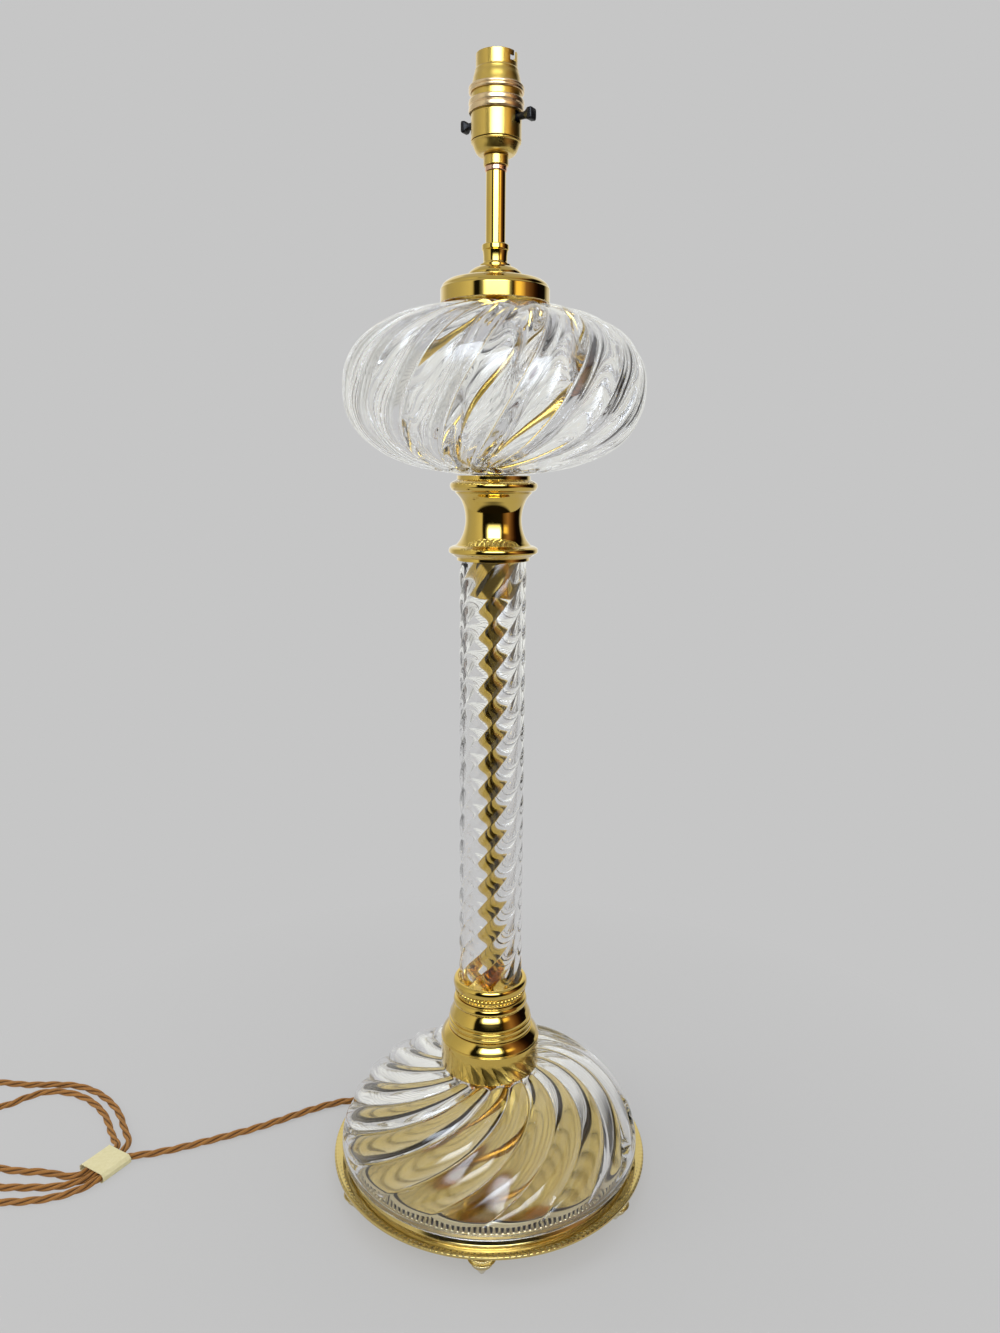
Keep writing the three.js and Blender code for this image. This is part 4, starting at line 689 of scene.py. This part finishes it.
lathed("dome_collar", "wide_drum_collar", POLISHED, [
    (37.0, 0, 0.5), (37.0, 21.5, 0.3), (36.2, 22.1, 0.1), (36.7, 22.8, 0.3), (35.2, 25.8, 1.8),
    (33.3, 28.1, 1.2), (31.6, 29.8, 0.5), (ROD_HOLE, 29.8, 0.1), (ROD_HOLE, 27.8, 0.1), (29.6, 27.8, 2),
    (35, 20, 3), (35, 0, 0.3)], around=160)
lathed("column_spool", "turned_spool", POLISHED, [
    (30.8, 0, 0.2), (31.3, 0.5, 0.5), (31.3, 2.7, 0.6), (30.2, 3.2, 0.2), (30.2, 3.8, 0.2),
    (31.0, 4.4, 0.6), (30.9, 6.6, 0.7), (29.6, 7.2, 0.2), (29.6, 7.7, 0.2), (30.5, 8.2, 0.4),
    (30.3, 9.8, 0.8), (29.3, 12, 1.2), (27.9, 15, 1.4), (26.6, 17.0, 0.4), (26.1, 17.6, 0.25),
    (26.1, 18.0, 0.2), (27.3, 18.7, 0.5), (27.8, 20.4, 0.9), (27.0, 23, 1.0), (25.6, 23.9, 0.2),
    (25.6, 24.5, 0.2), (ROD_HOLE, 24.5, 0.1), (ROD_HOLE, 21, 0.1), (22.7, 21, 1), (26.1, 7.4, 3),
    (26.1, 0, 0.3)], around=160)

CUP_BEADS = 54


def cup_beads(angle, r, z):
    """Fifty-four beads in a row on a band, taller than wide: half an egg's height over its middle."""
    along = 25.6 * (np.abs((angle * CUP_BEADS / (2 * np.pi)) % 1 - 0.5) * 2 * np.pi / CUP_BEADS)
    rise = 1.3 ** 2 - along ** 2 - (0.72 * (z - (CUP + 4.1))) ** 2
    return np.where(r > 23.9, np.sqrt(np.maximum(rise, 0)), 0.0)


CUP_BAND = [(25.3, level, 0.12) for level in np.linspace(2.6, 5.6, 9)]
lathed("column_cup", "beaded_cup", POLISHED, [
    (24.9, 0, 0.4), (25.0, 1.6, 0.5), (26.2, 2.0, 0.2), (25.5, 2.4, 0.2), *CUP_BAND, (25.5, 5.8, 0.2),
    (26.0, 6.3, 0.3), (27.3, 7.3, 0.6), (27.7, 9.2, 1.0), (27.5, 11.6, 1.0), (26.6, 13.2, 0.7),
    (25.4, 13.8, 0.4), (24.1, 13.8, 0.2), (23.7, 13, 0.2), (23.7, 3.6, 0.2), (ROD_HOLE, 3.6, 0.1),
    (ROD_HOLE, 0, 0.1)], around=12 * CUP_BEADS, steps=4, wave=cup_beads)

COLUMN_RADIUS = 23.3
COLUMN_BORE = 16.5
COLUMN_RIB_DEPTH = 1.7
COLUMN_TWIST_LENGTH = 145.6


def glass_column():
    """A tube whose eight ribs wind once round in 146 millimetres, with a smooth round bore, which
    has a quarter of the rows."""
    z = np.linspace(COLUMN, COLUMN_TOP, 260)
    one, none = np.ones_like(z), np.zeros_like(z)
    turn = (z - COLUMN) * 2 * np.pi / COLUMN_TWIST_LENGTH
    outer = np.stack([COLUMN_RADIUS * one, z, turn, COLUMN_RIB_DEPTH * one, one, none], axis=-1)
    bore = outer[::-4].copy()
    bore[:, 0], bore[:, 3] = COLUMN_BORE, 0
    rows = np.vstack([outer, bore, plain(COLUMN_BORE, COLUMN, 0)])
    return swirled("twisted_glass_column", rows, len(outer), 8, 24)


dress(glass_column(), GLASS, "glass_column")
rod_tube("column_tube", "column_inner_tube")
lathed("column_bushing", "column_bush_sleeve", POLISHED, [
    (6.8, 0, 0.2), (15.5, 0, 0.5), (15.5, 28, 0.5), (6.8, 28, 0.2)], around=96, steps=3)
lathed("upper_collar", "waisted_upper_collar", POLISHED, [
    (25.1, 0, 0.3), (25.1, 2.4, 0.3), (26.8, 2.8, 0.5), (28.9, 4.4, 1.0), (30.9, 5.4, 1.2),
    (30.9, 8.4, 1.4), (28.6, 9.8, 1.0), (25.9, 10.4, 1.2), (22.6, 14.6, 2.6), (20.1, 21, 3.4),
    (19.2, 28, 3.4), (20.1, 35.6, 3.4), (22.9, 42.4, 2.6), (26.2, 45.8, 0.5), (26.4, 46.8, 0.4),
    (28.6, 47.4, 1.0), (30.2, 50.0, 1.6), (29.8, 52.6, 1.2), (27.0, 54.0, 0.6), (25.2, 54.8, 0.3),
    (25.1, 57.6, 0.4), (15.5, 57.6, 0.3), (15.5, 9.4, 1), (ROD_HOLE, 7.4, 0.2), (ROD_HOLE, 3.4, 0.1),
    (23.7, 3.4, 0.2), (23.7, 0, 0.2)], around=160, steps=7)


# Font

FONT_RADIUS = 101.0
FONT_DROP = 56.3
FONT_RISE = 54.0
FONT_ROUNDING = 2.4
FONT_WALL = 11.0


def font_side(shrink, count, depth, sign):
    """One face of the bowl, from the hole in its floor to the one in its top: two superellipse
    quarters, smaller than the outer face by shrink. Its ribs fade out near the holes, and turn with
    the angle seen from the middle."""
    r_low, z_low = super_quarter(
        FONT_RADIUS - shrink, FONT_DROP - shrink, FONT_ROUNDING, FONT_ROUNDING, count)
    r_up, z_up = super_quarter(
        FONT_RADIUS - shrink, FONT_RISE - shrink, FONT_ROUNDING, FONT_ROUNDING, count)
    low, up = r_low > 17, r_up > 22
    r = np.concatenate([[14.0], r_low[low][::-1], r_up[up][1:], [20.0]])
    z = np.concatenate([[shrink - FONT_DROP], -z_low[low][::-1], z_up[up][1:], [FONT_RISE - shrink]])
    out_r, out_z = facing(r, z)
    turn = np.radians(35) * np.arctan2(z, r)
    fade = np.clip((r - 26) / 12, 0, 1)
    rows = [r, FONT + FONT_DROP + z, turn, depth * fade, out_r * sign, out_z * sign]
    return np.stack(rows, axis=-1)


def glass_font():
    """A flattened round bowl, with low ribs outside and deeper ones inside."""
    outer = font_side(0, 56, 2.4, 1)
    inner = font_side(FONT_WALL, 44, 7.6, -1)
    return swirled("swirled_glass_font", np.vstack([outer, inner[::-1]]), len(outer), 18, 24)


dress(glass_font(), FONT_GLASS, "glass_font")
rod_tube("font_tube", "font_inner_tube")
lathed("font_cap", "spun_font_cap", POLISHED, [
    (36.1, 0, 0.4), (36.1, 9.0, 0.6), (35.6, 9.7, 0.4), (34.9, 11.6, 1.2), (31.6, 14.4, 2.0),
    (26.4, 15.4, 1.4), (21.6, 15.7, 0.3), (ROD_HOLE, 15.7, 0.1), (ROD_HOLE, 14.3, 0.1),
    (21.6, 14.3, 0.8), (30.3, 12.6, 1.8), (34.7, 8.6, 1.8), (34.7, 0, 0.3)], around=160, steps=7)
lathed("step_dome", "stepped_dome", POLISHED, [
    (20.3, 0, 0.3), (20.3, 0.9, 0.4), (18.1, 1.4, 0.3), (17.6, 3.2, 1.2), (15.1, 5.6, 1.8),
    (11.9, 6.9, 0.8), (10.2, 7.3, 0.3), (10.2, 8.5, 0.2), (ROD_HOLE, 8.5, 0.1),
    (ROD_HOLE, 0, 0.1)], around=128, steps=6)
lathed("neck_cup", "flared_neck_cup", POLISHED, [
    (8.5, 0, 0.2), (8.3, 0.7, 0.3), (7.9, 1.5, 0.6), (7.9, 5.0, 1.6), (8.3, 8.2, 0.8), (8.9, 8.9, 0.5),
    (8.9, 11.7, 0.4), (8.4, 12.3, 0.3), (6.8, 12.3, 0.2), (6.8, 4.3, 0.2), (ROD_HOLE, 4.3, 0.1),
    (ROD_HOLE, 0, 0.1)], around=96, steps=6)
rod_tube("stem_tube", "polished_stem", steps=4)
lathed("stem_washer", "copper_washer", COPPER, [
    (ROD_HOLE, 0, 0.1), (7.1, 0, 0.4), (7.1, 2.8, 0.4), (ROD_HOLE, 2.8, 0.1)], around=64, steps=4)


# Lampholder

lathed("holder_nut", "holder_lock_nut", SATIN, [
    (ROD_HOLE, 0, 0.1), (8.1, 0, 0.5), (8.1, 6, 0.5), (ROD_HOLE, 6, 0.1)], around=96, steps=4)
lathed("holder_dome", "holder_lower_shell", SATIN, [
    (8.5, 0, 0.3), (11.4, 0.2, 1.2), (13.0, 1.6, 1.2), (14.2, 4, 1.4), (14.9, 5.9, 0.8),
    (15.3, 6.9, 0.4), (16.0, 7.2, 0.3), (16.0, 8.0, 0.3), (15.3, 8.2, 0.2), (14.3, 8.2, 0.2),
    (13.8, 6, 0.8), (12.1, 3, 1.2), (8.5, 1.4, 0.5), (ROD_HOLE, 1.1, 0.1),
    (ROD_HOLE, 0, 0.1)], around=128, steps=6)


def cut_from(piece, blocks):
    """Takes closed blocks away from a piece with one boolean for each, and deletes the blocks."""
    for block in blocks:
        made = piece.modifiers.new("cut", "BOOLEAN")
        made.operation, made.solver, made.object = "DIFFERENCE", "EXACT", block
    graph = bpy.context.evaluated_depsgraph_get()
    data = bpy.data.meshes.new_from_object(piece.evaluated_get(graph))
    piece.modifiers.clear()
    old, piece.data = piece.data, data
    bpy.data.meshes.remove(old)
    for block in blocks:
        bpy.data.objects.remove(block)
    piece.data.set_sharp_from_angle(angle=math.radians(38))
    return piece


def rounded_box(width, height, power, a):
    """Points at the angles a of a superellipse: half the width times the cosine and half the height
    times the sine, each to the power and with its sign kept. A power near nought gives square
    corners, and one gives an ellipse."""
    y = width / 2 * np.sign(np.cos(a)) * np.abs(np.cos(a)) ** power
    z = height / 2 * np.sign(np.sin(a)) * np.abs(np.sin(a)) ** power
    return y, z


def brick(length, width, height, turn, out, level, power=0.02):
    """A block with a rounded box for its cross-section, carried straight along, turned about the
    lamp's axis and moved out from it."""
    y, z = rounded_box(width, height, power, np.arange(32) * 2 * np.pi / 32)
    ends = np.array([out - length / 2, out + length / 2])[:, None]
    x, y, z = np.broadcast_arrays(ends, y[None], level + z[None])
    c, s = math.cos(turn), math.sin(turn)
    points = np.stack([x * c - y * s, x * s + y * c, z], axis=-1).reshape(-1, 3)
    return mesh("block", points, capped(wrapped(2, 32, closed=False), 2, 32))


SWITCH_TURN = math.radians(-32)
body = turned("holder_straight_body", [
    (15.1, 0, 0.2), (16.2, 0, 0.3), (16.2, 15.6, 0.3), (15.1, 15.6, 0.2)],
    base=BODY, around=128, steps=4)
cut_from(body, [brick(50, 6.4, 7.4, SWITCH_TURN, 0, SWITCH, 0.35)])
dress(body, SATIN, "holder_body")

barrel = turned("slotted_holder_barrel", [
    (16.1, 0, 0.2), (16.1, 16, 0.6), (15.5, 18.2, 1.2), (14.85, 21.4, 1.4), (14.15, 23.6, 0.8),
    (13.85, 25.3, 0.3), (13.25, 26, 0.4), (13.25, 34.6, 0.3), (12.35, 34.6, 0.3), (12.35, 24.8, 0.8),
    (13.7, 18, 1), (14.5, 14, 1), (14.5, 0, 0.3)],
    base=THREAD, around=128, steps=5)
# Two slots for a lamp's pins, each straight down from the rim and then a short way round.
SLOT = math.radians(-29)
SLOT_HOOK = math.radians(7)
cutters = []
for side in (SLOT, SLOT + math.pi):
    cutters.append(brick(6, 3.0, 8, side, 13.5, RIM - 2.0))
    cutters.append(brick(6, 6.6, 3.0, side - SLOT_HOOK, 13.5, RIM - 4.5))
cut_from(barrel, cutters)
dress(barrel, SATIN, "holder_barrel")

lathed("shade_ring_lower", "lower_shade_ring", RING_BRASS, [
    (16.4, 0, 0.2), (17.4, 0, 0.4), (17.8, 0.8, 0.7), (17.8, 3.0, 0.7), (17.0, 3.75, 0.3),
    (17.8, 4.5, 0.7), (17.8, 6.7, 0.7), (17.4, 7.5, 0.4), (16.4, 7.5, 0.2)], around=128, steps=5)
lathed("shade_ring_upper", "upper_shade_ring", RING_BRASS, [
    (16.4, 0, 0.2), (17.4, 0, 0.4), (17.8, 0.7, 0.6), (17.8, 1.6, 0.4), (17.3, 2.0, 0.2),
    (17.8, 2.4, 0.4), (17.8, 3.3, 0.6), (17.4, 4, 0.4), (16.4, 4, 0.2)], around=128, steps=5)


def switch_bar():
    """A bar with a blocky button at each end, laid along the switch's line. Each station along it has
    its place, half its width and the power of the rounded box that is its cross-section."""
    stations = np.array([
        (-25.4, 2.9, 0.4), (-25.2, 3.3, 0.35), (-24.6, 3.6, 0.3), (-22.9, 3.4, 0.3), (-21.6, 2.6, 0.45),
        (-21.0, 2.1, 0.8), (-12.0, 2.1, 1.0), (12.0, 2.1, 1.0), (20.6, 2.1, 0.8), (22.0, 2.2, 0.5),
        (23.6, 3.0, 0.3), (24.4, 3.5, 0.3), (26.7, 3.6, 0.3), (27.3, 3.3, 0.35), (27.6, 2.9, 0.4)])
    a = np.arange(40)[None, :] * 2 * np.pi / 40
    size, power = 2 * stations[:, 1, None], stations[:, 2, None]
    y, z = rounded_box(size, size, power, a)
    x = np.broadcast_to(stations[:, 0, None], y.shape)
    c, s = math.cos(SWITCH_TURN), math.sin(SWITCH_TURN)
    points = np.stack([x * c - y * s, x * s + y * c, SWITCH + z], axis=-1).reshape(-1, 3)
    faces = capped(wrapped(len(stations), 40, closed=False), len(stations), 40)
    piece = mesh("push_bar", points, faces)
    piece.data.set_sharp_from_angle(angle=math.radians(50))
    return piece


dress(switch_bar(), MOULDED, "switch_bar")

# The contacts stand each side of the lamp's axis, a quarter turn from the slots.
CONTACT_OUT = 4.2
COIL_RADIUS = 1.85
COIL_TURNS = 5.5
FLAT_TURNS = 0.75
WIRE_RADIUS = 0.3


def contact_spring(side):
    """A coil spring under a contact plunger: a circle of wire carried along a helix of five and a half
    turns whose ends lie flat."""
    turns = np.linspace(0, COIL_TURNS, 155)[:, None]
    climb = np.clip((turns - FLAT_TURNS) / (COIL_TURNS - 2 * FLAT_TURNS), 0, 1)
    z = SPRING + WIRE_RADIUS + (SPRING_TOP - SPRING - 2 * WIRE_RADIUS) * climb
    a = np.arange(12)[None, :] * 2 * np.pi / 12
    r = COIL_RADIUS + WIRE_RADIUS * np.cos(a)
    at = SLOT + side * math.pi / 2
    x, y = CONTACT_OUT * math.cos(at), CONTACT_OUT * math.sin(at)
    points = np.stack([x + r * np.cos(turns * 2 * np.pi), y + r * np.sin(turns * 2 * np.pi),
                       z + WIRE_RADIUS * np.sin(a)], axis=-1).reshape(-1, 3)
    piece = mesh("contact_coil", points, capped(wrapped(len(turns), 12, closed=False), len(turns), 12))
    return piece, (x * 0.001, y * 0.001, SPRING * 0.001)


for number, side in ((1, -1), (2, 1)):
    coil, foot_of_coil = contact_spring(side)
    dress(coil, ZINC, "plunger_spring_%d" % number)
    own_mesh(coil)


# Nodes that keep their shape

KEPT = {
    "foot_nut": POLISHED, "plunger_1": POLISHED, "plunger_2": POLISHED, "terminal_screw_1": POLISHED,
    "terminal_screw_2": POLISHED, "pin_neutral": POLISHED, "pin_line": POLISHED, "pin_earth": POLISHED,
    "tie_rod": DRAWN, "foot_washer": ZINC, "plug_screw": ZINC, "base_gasket": RUBBER, "cord_tie": CREPE,
    "cord_bush": MOULDED, "holder_insert": MOULDED, "inner_flex": MOULDED, "plug_cover": MOULDED,
    "plug_base": MOULDED, "plug_grommet": MOULDED,
}
for name, material in KEPT.items():
    dress(bpy.data.objects[name], material)


# Studio

BACKDROP = "#C6C6C6"
CEILING = "#BCBCBE"
FLOOR_LEVEL = -0.4
WALL_RADIUS = 1600.0
WALL_FOOT = -300.0
WALL_TOP = 2600.0


def shown(tree, out, lit, look, mirrored):
    """Joins three shaders: the camera gets look, mirrors and glass get mirrored, other rays get lit."""
    path = add(tree, "ShaderNodeLightPath")
    bounced = add(tree, "ShaderNodeMath", [(path.outputs["Is Glossy Ray"], 0),
                                           (path.outputs["Is Transmission Ray"], 1)],
                  operation="MAXIMUM")
    rest = add(tree, "ShaderNodeMixShader", [(bounced, "Fac"), (lit, 1), (mirrored, 2)])
    blend = add(tree, "ShaderNodeMixShader", [(path.outputs["Is Camera Ray"], "Fac"),
                                              (rest, 1), (look, 2)])
    tree.links.new(blend.outputs[0], tree.nodes[out].inputs["Surface"])


world = bpy.data.worlds.new("studio")
bpy.context.scene.world = world
world.use_nodes = True
sky = world.node_tree
sky.nodes["Background"].inputs["Color"].default_value = (1, 1, 1, 1)
sky.nodes["Background"].inputs["Strength"].default_value = 0.45
wall = add(sky, "ShaderNodeBackground", Color=linear(BACKDROP), Strength=1.0)
ceiling = add(sky, "ShaderNodeBackground", Color=linear(CEILING), Strength=1.0)
shown(sky, "World Output", sky.nodes["Background"], wall, ceiling)


def floor():
    """A wide pale sheet under the feet, a disc of plain rings. Its shade shows near the lamp, and
    fades with distance into the backdrop's own colour. Mirrors and glass see it end in the dark of
    the room half a metre in front of the lamp."""
    r = np.array([0.01, 250.0, 700.0, 6000.0])[:, None]
    a = np.arange(64)[None, :] * 2 * np.pi / 64
    points = np.stack(np.broadcast_arrays(r * np.cos(a), r * np.sin(a), FLOOR_LEVEL), axis=-1)
    piece = mesh("floor", points.reshape(-1, 3), wrapped(4, 64, closed=False))
    material, tree, shader = finish("pale_floor", Roughness=1.0)
    shader.inputs["Base Color"].default_value = linear(BACKDROP)
    shader.inputs["Specular IOR Level"].default_value = 0.0
    glow = add(tree, "ShaderNodeEmission", Color=linear(BACKDROP), Strength=1.0)
    place = add(tree, "ShaderNodeTexCoord")
    far = add(tree, "ShaderNodeVectorMath", [(place.outputs["Object"], 0)], operation="LENGTH")
    fade = add(tree, "ShaderNodeMapRange", [(far.outputs["Value"], "Value")],
               From_Min=0.1, From_Max=0.5, To_Min=0.62, To_Max=1.0)
    soft = add(tree, "ShaderNodeMixShader", [(fade, "Fac"), (shader, 1), (glow, 2)])
    split = add(tree, "ShaderNodeSeparateXYZ", [(place.outputs["Object"], "Vector")])
    front = add(tree, "ShaderNodeMapRange", [(split.outputs["Y"], "Value")],
                interpolation_type="SMOOTHSTEP", From_Min=-0.36, From_Max=-0.60, To_Min=0.0, To_Max=1.0)
    dark = add(tree, "ShaderNodeEmission", Color=linear("#1B1710"), Strength=1.0)
    room = add(tree, "ShaderNodeMixShader", [(front, "Fac"), (soft, 1), (dark, 2)])
    shown(tree, "Material Output", shader, soft, room)
    dress(piece, material)
    return piece


floor()


def softbox(name, at, aim, width, height, power, colour="#FFFFFF"):
    """A flat lamp at one place, turned to face another. The room's wall stands for it in mirrors."""
    lamp = bpy.data.objects.new(name, bpy.data.lights.new(name, "AREA"))
    bpy.context.scene.collection.objects.link(lamp)
    lamp.data.shape, lamp.data.size, lamp.data.size_y = "RECTANGLE", width, height
    lamp.data.energy, lamp.data.color = power, linear(colour)[:3]
    lamp.location = at
    lamp.rotation_euler = (Vector(aim) - Vector(at)).to_track_quat("-Z", "Y").to_euler()
    lamp.visible_camera = lamp.visible_glossy = lamp.visible_transmission = False
    return lamp


softbox("window_light", (0.1, -1.5, 1.2), (0, 0, 0.35), 1.5, 1.4, 14)
softbox("left_light", (-1.5, -0.4, 1.2), (0, 0, 0.35), 1.0, 1.6, 8)
softbox("overhead_light", (0, 0.3, 2.4), (0, 0, 0.4), 1.4, 1.4, 9)

# The room's tones by bearing in degrees from the viewer, right positive, and where on its wall the
# window, the small warm light and the dark doorway are: white where they are.
WALL_TONES = [
    (-180, "#F6F7F0"), (-142, "#F0F0EA"), (-118, "#B8B8B2"), (-80, "#C8C7C0"), (-52, "#E6E4D8"),
    (-47, "#DAD6C8"), (-43, "#1C1A16"), (-30, "#12110E"), (30, "#1C1A16"), (36, "#2A1C0E"),
    (42, "#6A5238"), (60, "#A8826A"), (76, "#6E4E3E"), (90, "#321E14"), (100, "#120A06"),
    (124, "#120F0C"), (140, "#DCDCD8"), (180, "#F6F7F0")]
WINDOW = [
    (-180, "#000000"), (-33, "#000000"), (-26, "#5A5A5A"), (-18, "#FFFFFF"), (24, "#FFFFFF"),
    (31, "#5A5A5A"), (36, "#000000"), (180, "#000000")]
WARM_LIGHT = [
    (-180, "#000000"), (39, "#000000"), (45, "#FFFFFF"), (52, "#FFFFFF"), (66, "#000000"),
    (180, "#000000")]
DOORWAY = [
    (-180, "#000000"), (64, "#000000"), (80, "#FFFFFF"), (118, "#FFFFFF"), (134, "#000000"),
    (180, "#000000")]


def band(tree, value, low, rise, high, fall):
    """One between two levels and nought outside them, with soft edges of the widths rise and fall."""
    up = add(tree, "ShaderNodeMapRange", [(value, "Value")], interpolation_type="SMOOTHSTEP",
             From_Min=low, From_Max=low + rise, To_Min=0.0, To_Max=1.0)
    down = add(tree, "ShaderNodeMapRange", [(value, "Value")], interpolation_type="SMOOTHSTEP",
               From_Min=high - fall, From_Max=high, To_Min=1.0, To_Max=0.0)
    return add(tree, "ShaderNodeMath", [(up, 0), (down, 1)], operation="MULTIPLY")


def wall_light(tree):
    """The room's light at each bearing, the arc tangent of place in turns, and at each height in
    metres: its plain tones, and over them whatever is brighter or darker, each with its share, the
    product of its own factors."""
    place = add(tree, "ShaderNodeTexCoord")
    split = add(tree, "ShaderNodeSeparateXYZ", [(place.outputs["Object"], "Vector")])
    height = split.outputs["Z"]
    front = add(tree, "ShaderNodeMath", [(split.outputs["Y"], 0), (-1.0, 1)], operation="MULTIPLY")
    turn = add(tree, "ShaderNodeMath", [(split.outputs["X"], 0), (front, 1)], operation="ARCTAN2")
    bearing = add(tree, "ShaderNodeMath", [(turn, 0), (1 / (2 * math.pi), 1), (0.5, 2)],
                  operation="MULTIPLY_ADD")
    by_bearing = []
    for stops in (WALL_TONES, WINDOW, WARM_LIGHT, DOORWAY):
        tones = add(tree, "ShaderNodeValToRGB", [(bearing, "Fac")])
        for degrees, colour in stops[1:-1]:
            tones.color_ramp.elements.new(degrees / 360 + 0.5)
        for element, (degrees, colour) in zip(tones.color_ramp.elements, stops):
            element.position, element.color = degrees / 360 + 0.5, linear(colour)
        by_bearing.append(tones.outputs["Color"])
    tone, window, warm_light, doorway = by_bearing
    glass = add(tree, "ShaderNodeLightPath").outputs["Is Transmission Ray"]

    # Thin dark rails across the wall, 0.14 metres apart, seen in glass alone: ripples draw them as
    # fine grey lines.
    ladder = add(tree, "ShaderNodeMath", [(height, 0), (0.07, 1)], operation="PINGPONG")
    rails = add(tree, "ShaderNodeMapRange", [(ladder, "Value")],
                interpolation_type="SMOOTHSTEP", From_Min=0.05, From_Max=0.068, To_Min=0.0, To_Max=0.9)
    # A thin pale veil over what glass shows, least in the dark doorway at the right.
    door = add(tree, "ShaderNodeMath", [(doorway, 0), (band(tree, height, 0.42, 0.1, 1.2, 0.2), 1)],
               operation="MULTIPLY")
    clear = add(tree, "ShaderNodeMapRange", [(door, "Value")],
                From_Min=0.0, From_Max=1.0, To_Min=1.0, To_Max=0.15)
    ceiling_share = add(tree, "ShaderNodeMapRange", [(height, "Value")],
                        interpolation_type="SMOOTHSTEP", From_Min=2.1, From_Max=2.6,
                        To_Min=0.0, To_Max=1.0)
    over = (
        ((rails, glass), linear("#3C3C42")),
        ((glass, 0.12, clear), linear("#E6E6E8")),
        ((warm_light, band(tree, height, 0.62, 0.35, 1.5, 0.3)), (1.6, 1.2, 0.5, 1.0)),
        ((window, band(tree, height, 0.62, 0.70, 2.1, 0.3)), (8.0, 8.8, 10.0, 1.0)),
        ((ceiling_share,), linear(CEILING)),
    )
    for (share, *factors), light in over:
        for factor in factors:
            share = add(tree, "ShaderNodeMath", [(share, 0), (factor, 1)], operation="MULTIPLY")
        mixed = add(tree, "ShaderNodeMix", [(share, "Factor"), (tone, COLOUR_A), (light, COLOUR_B)],
                    data_type="RGBA")
        tone = mixed.outputs[BLEND]
    return tone


def room_wall():
    """A round wall 1.6 metres from the lamp, seen only by mirrors and glass: pale behind the lamp
    and to its left, dark in front and to its right, with a soft bright window in the dark and a
    small warm light beside it."""
    a = np.arange(96)[None, :] * 2 * np.pi / 96
    z = np.array([WALL_FOOT, WALL_TOP])[:, None]
    points = np.stack(np.broadcast_arrays(WALL_RADIUS * np.cos(a), WALL_RADIUS * np.sin(a), z), axis=-1)
    piece = mesh("room_wall", points.reshape(-1, 3), wrapped(2, 96, closed=False))
    material, tree, shader = finish("studio_room_wall")
    tree.nodes.remove(shader)
    glow = add(tree, "ShaderNodeEmission", [(wall_light(tree), "Color")], Strength=1.0)
    tree.links.new(glow.outputs[0], tree.nodes["Material Output"].inputs["Surface"])
    dress(piece, material)
    piece.visible_camera = piece.visible_diffuse = piece.visible_shadow = False
    return piece


room_wall()
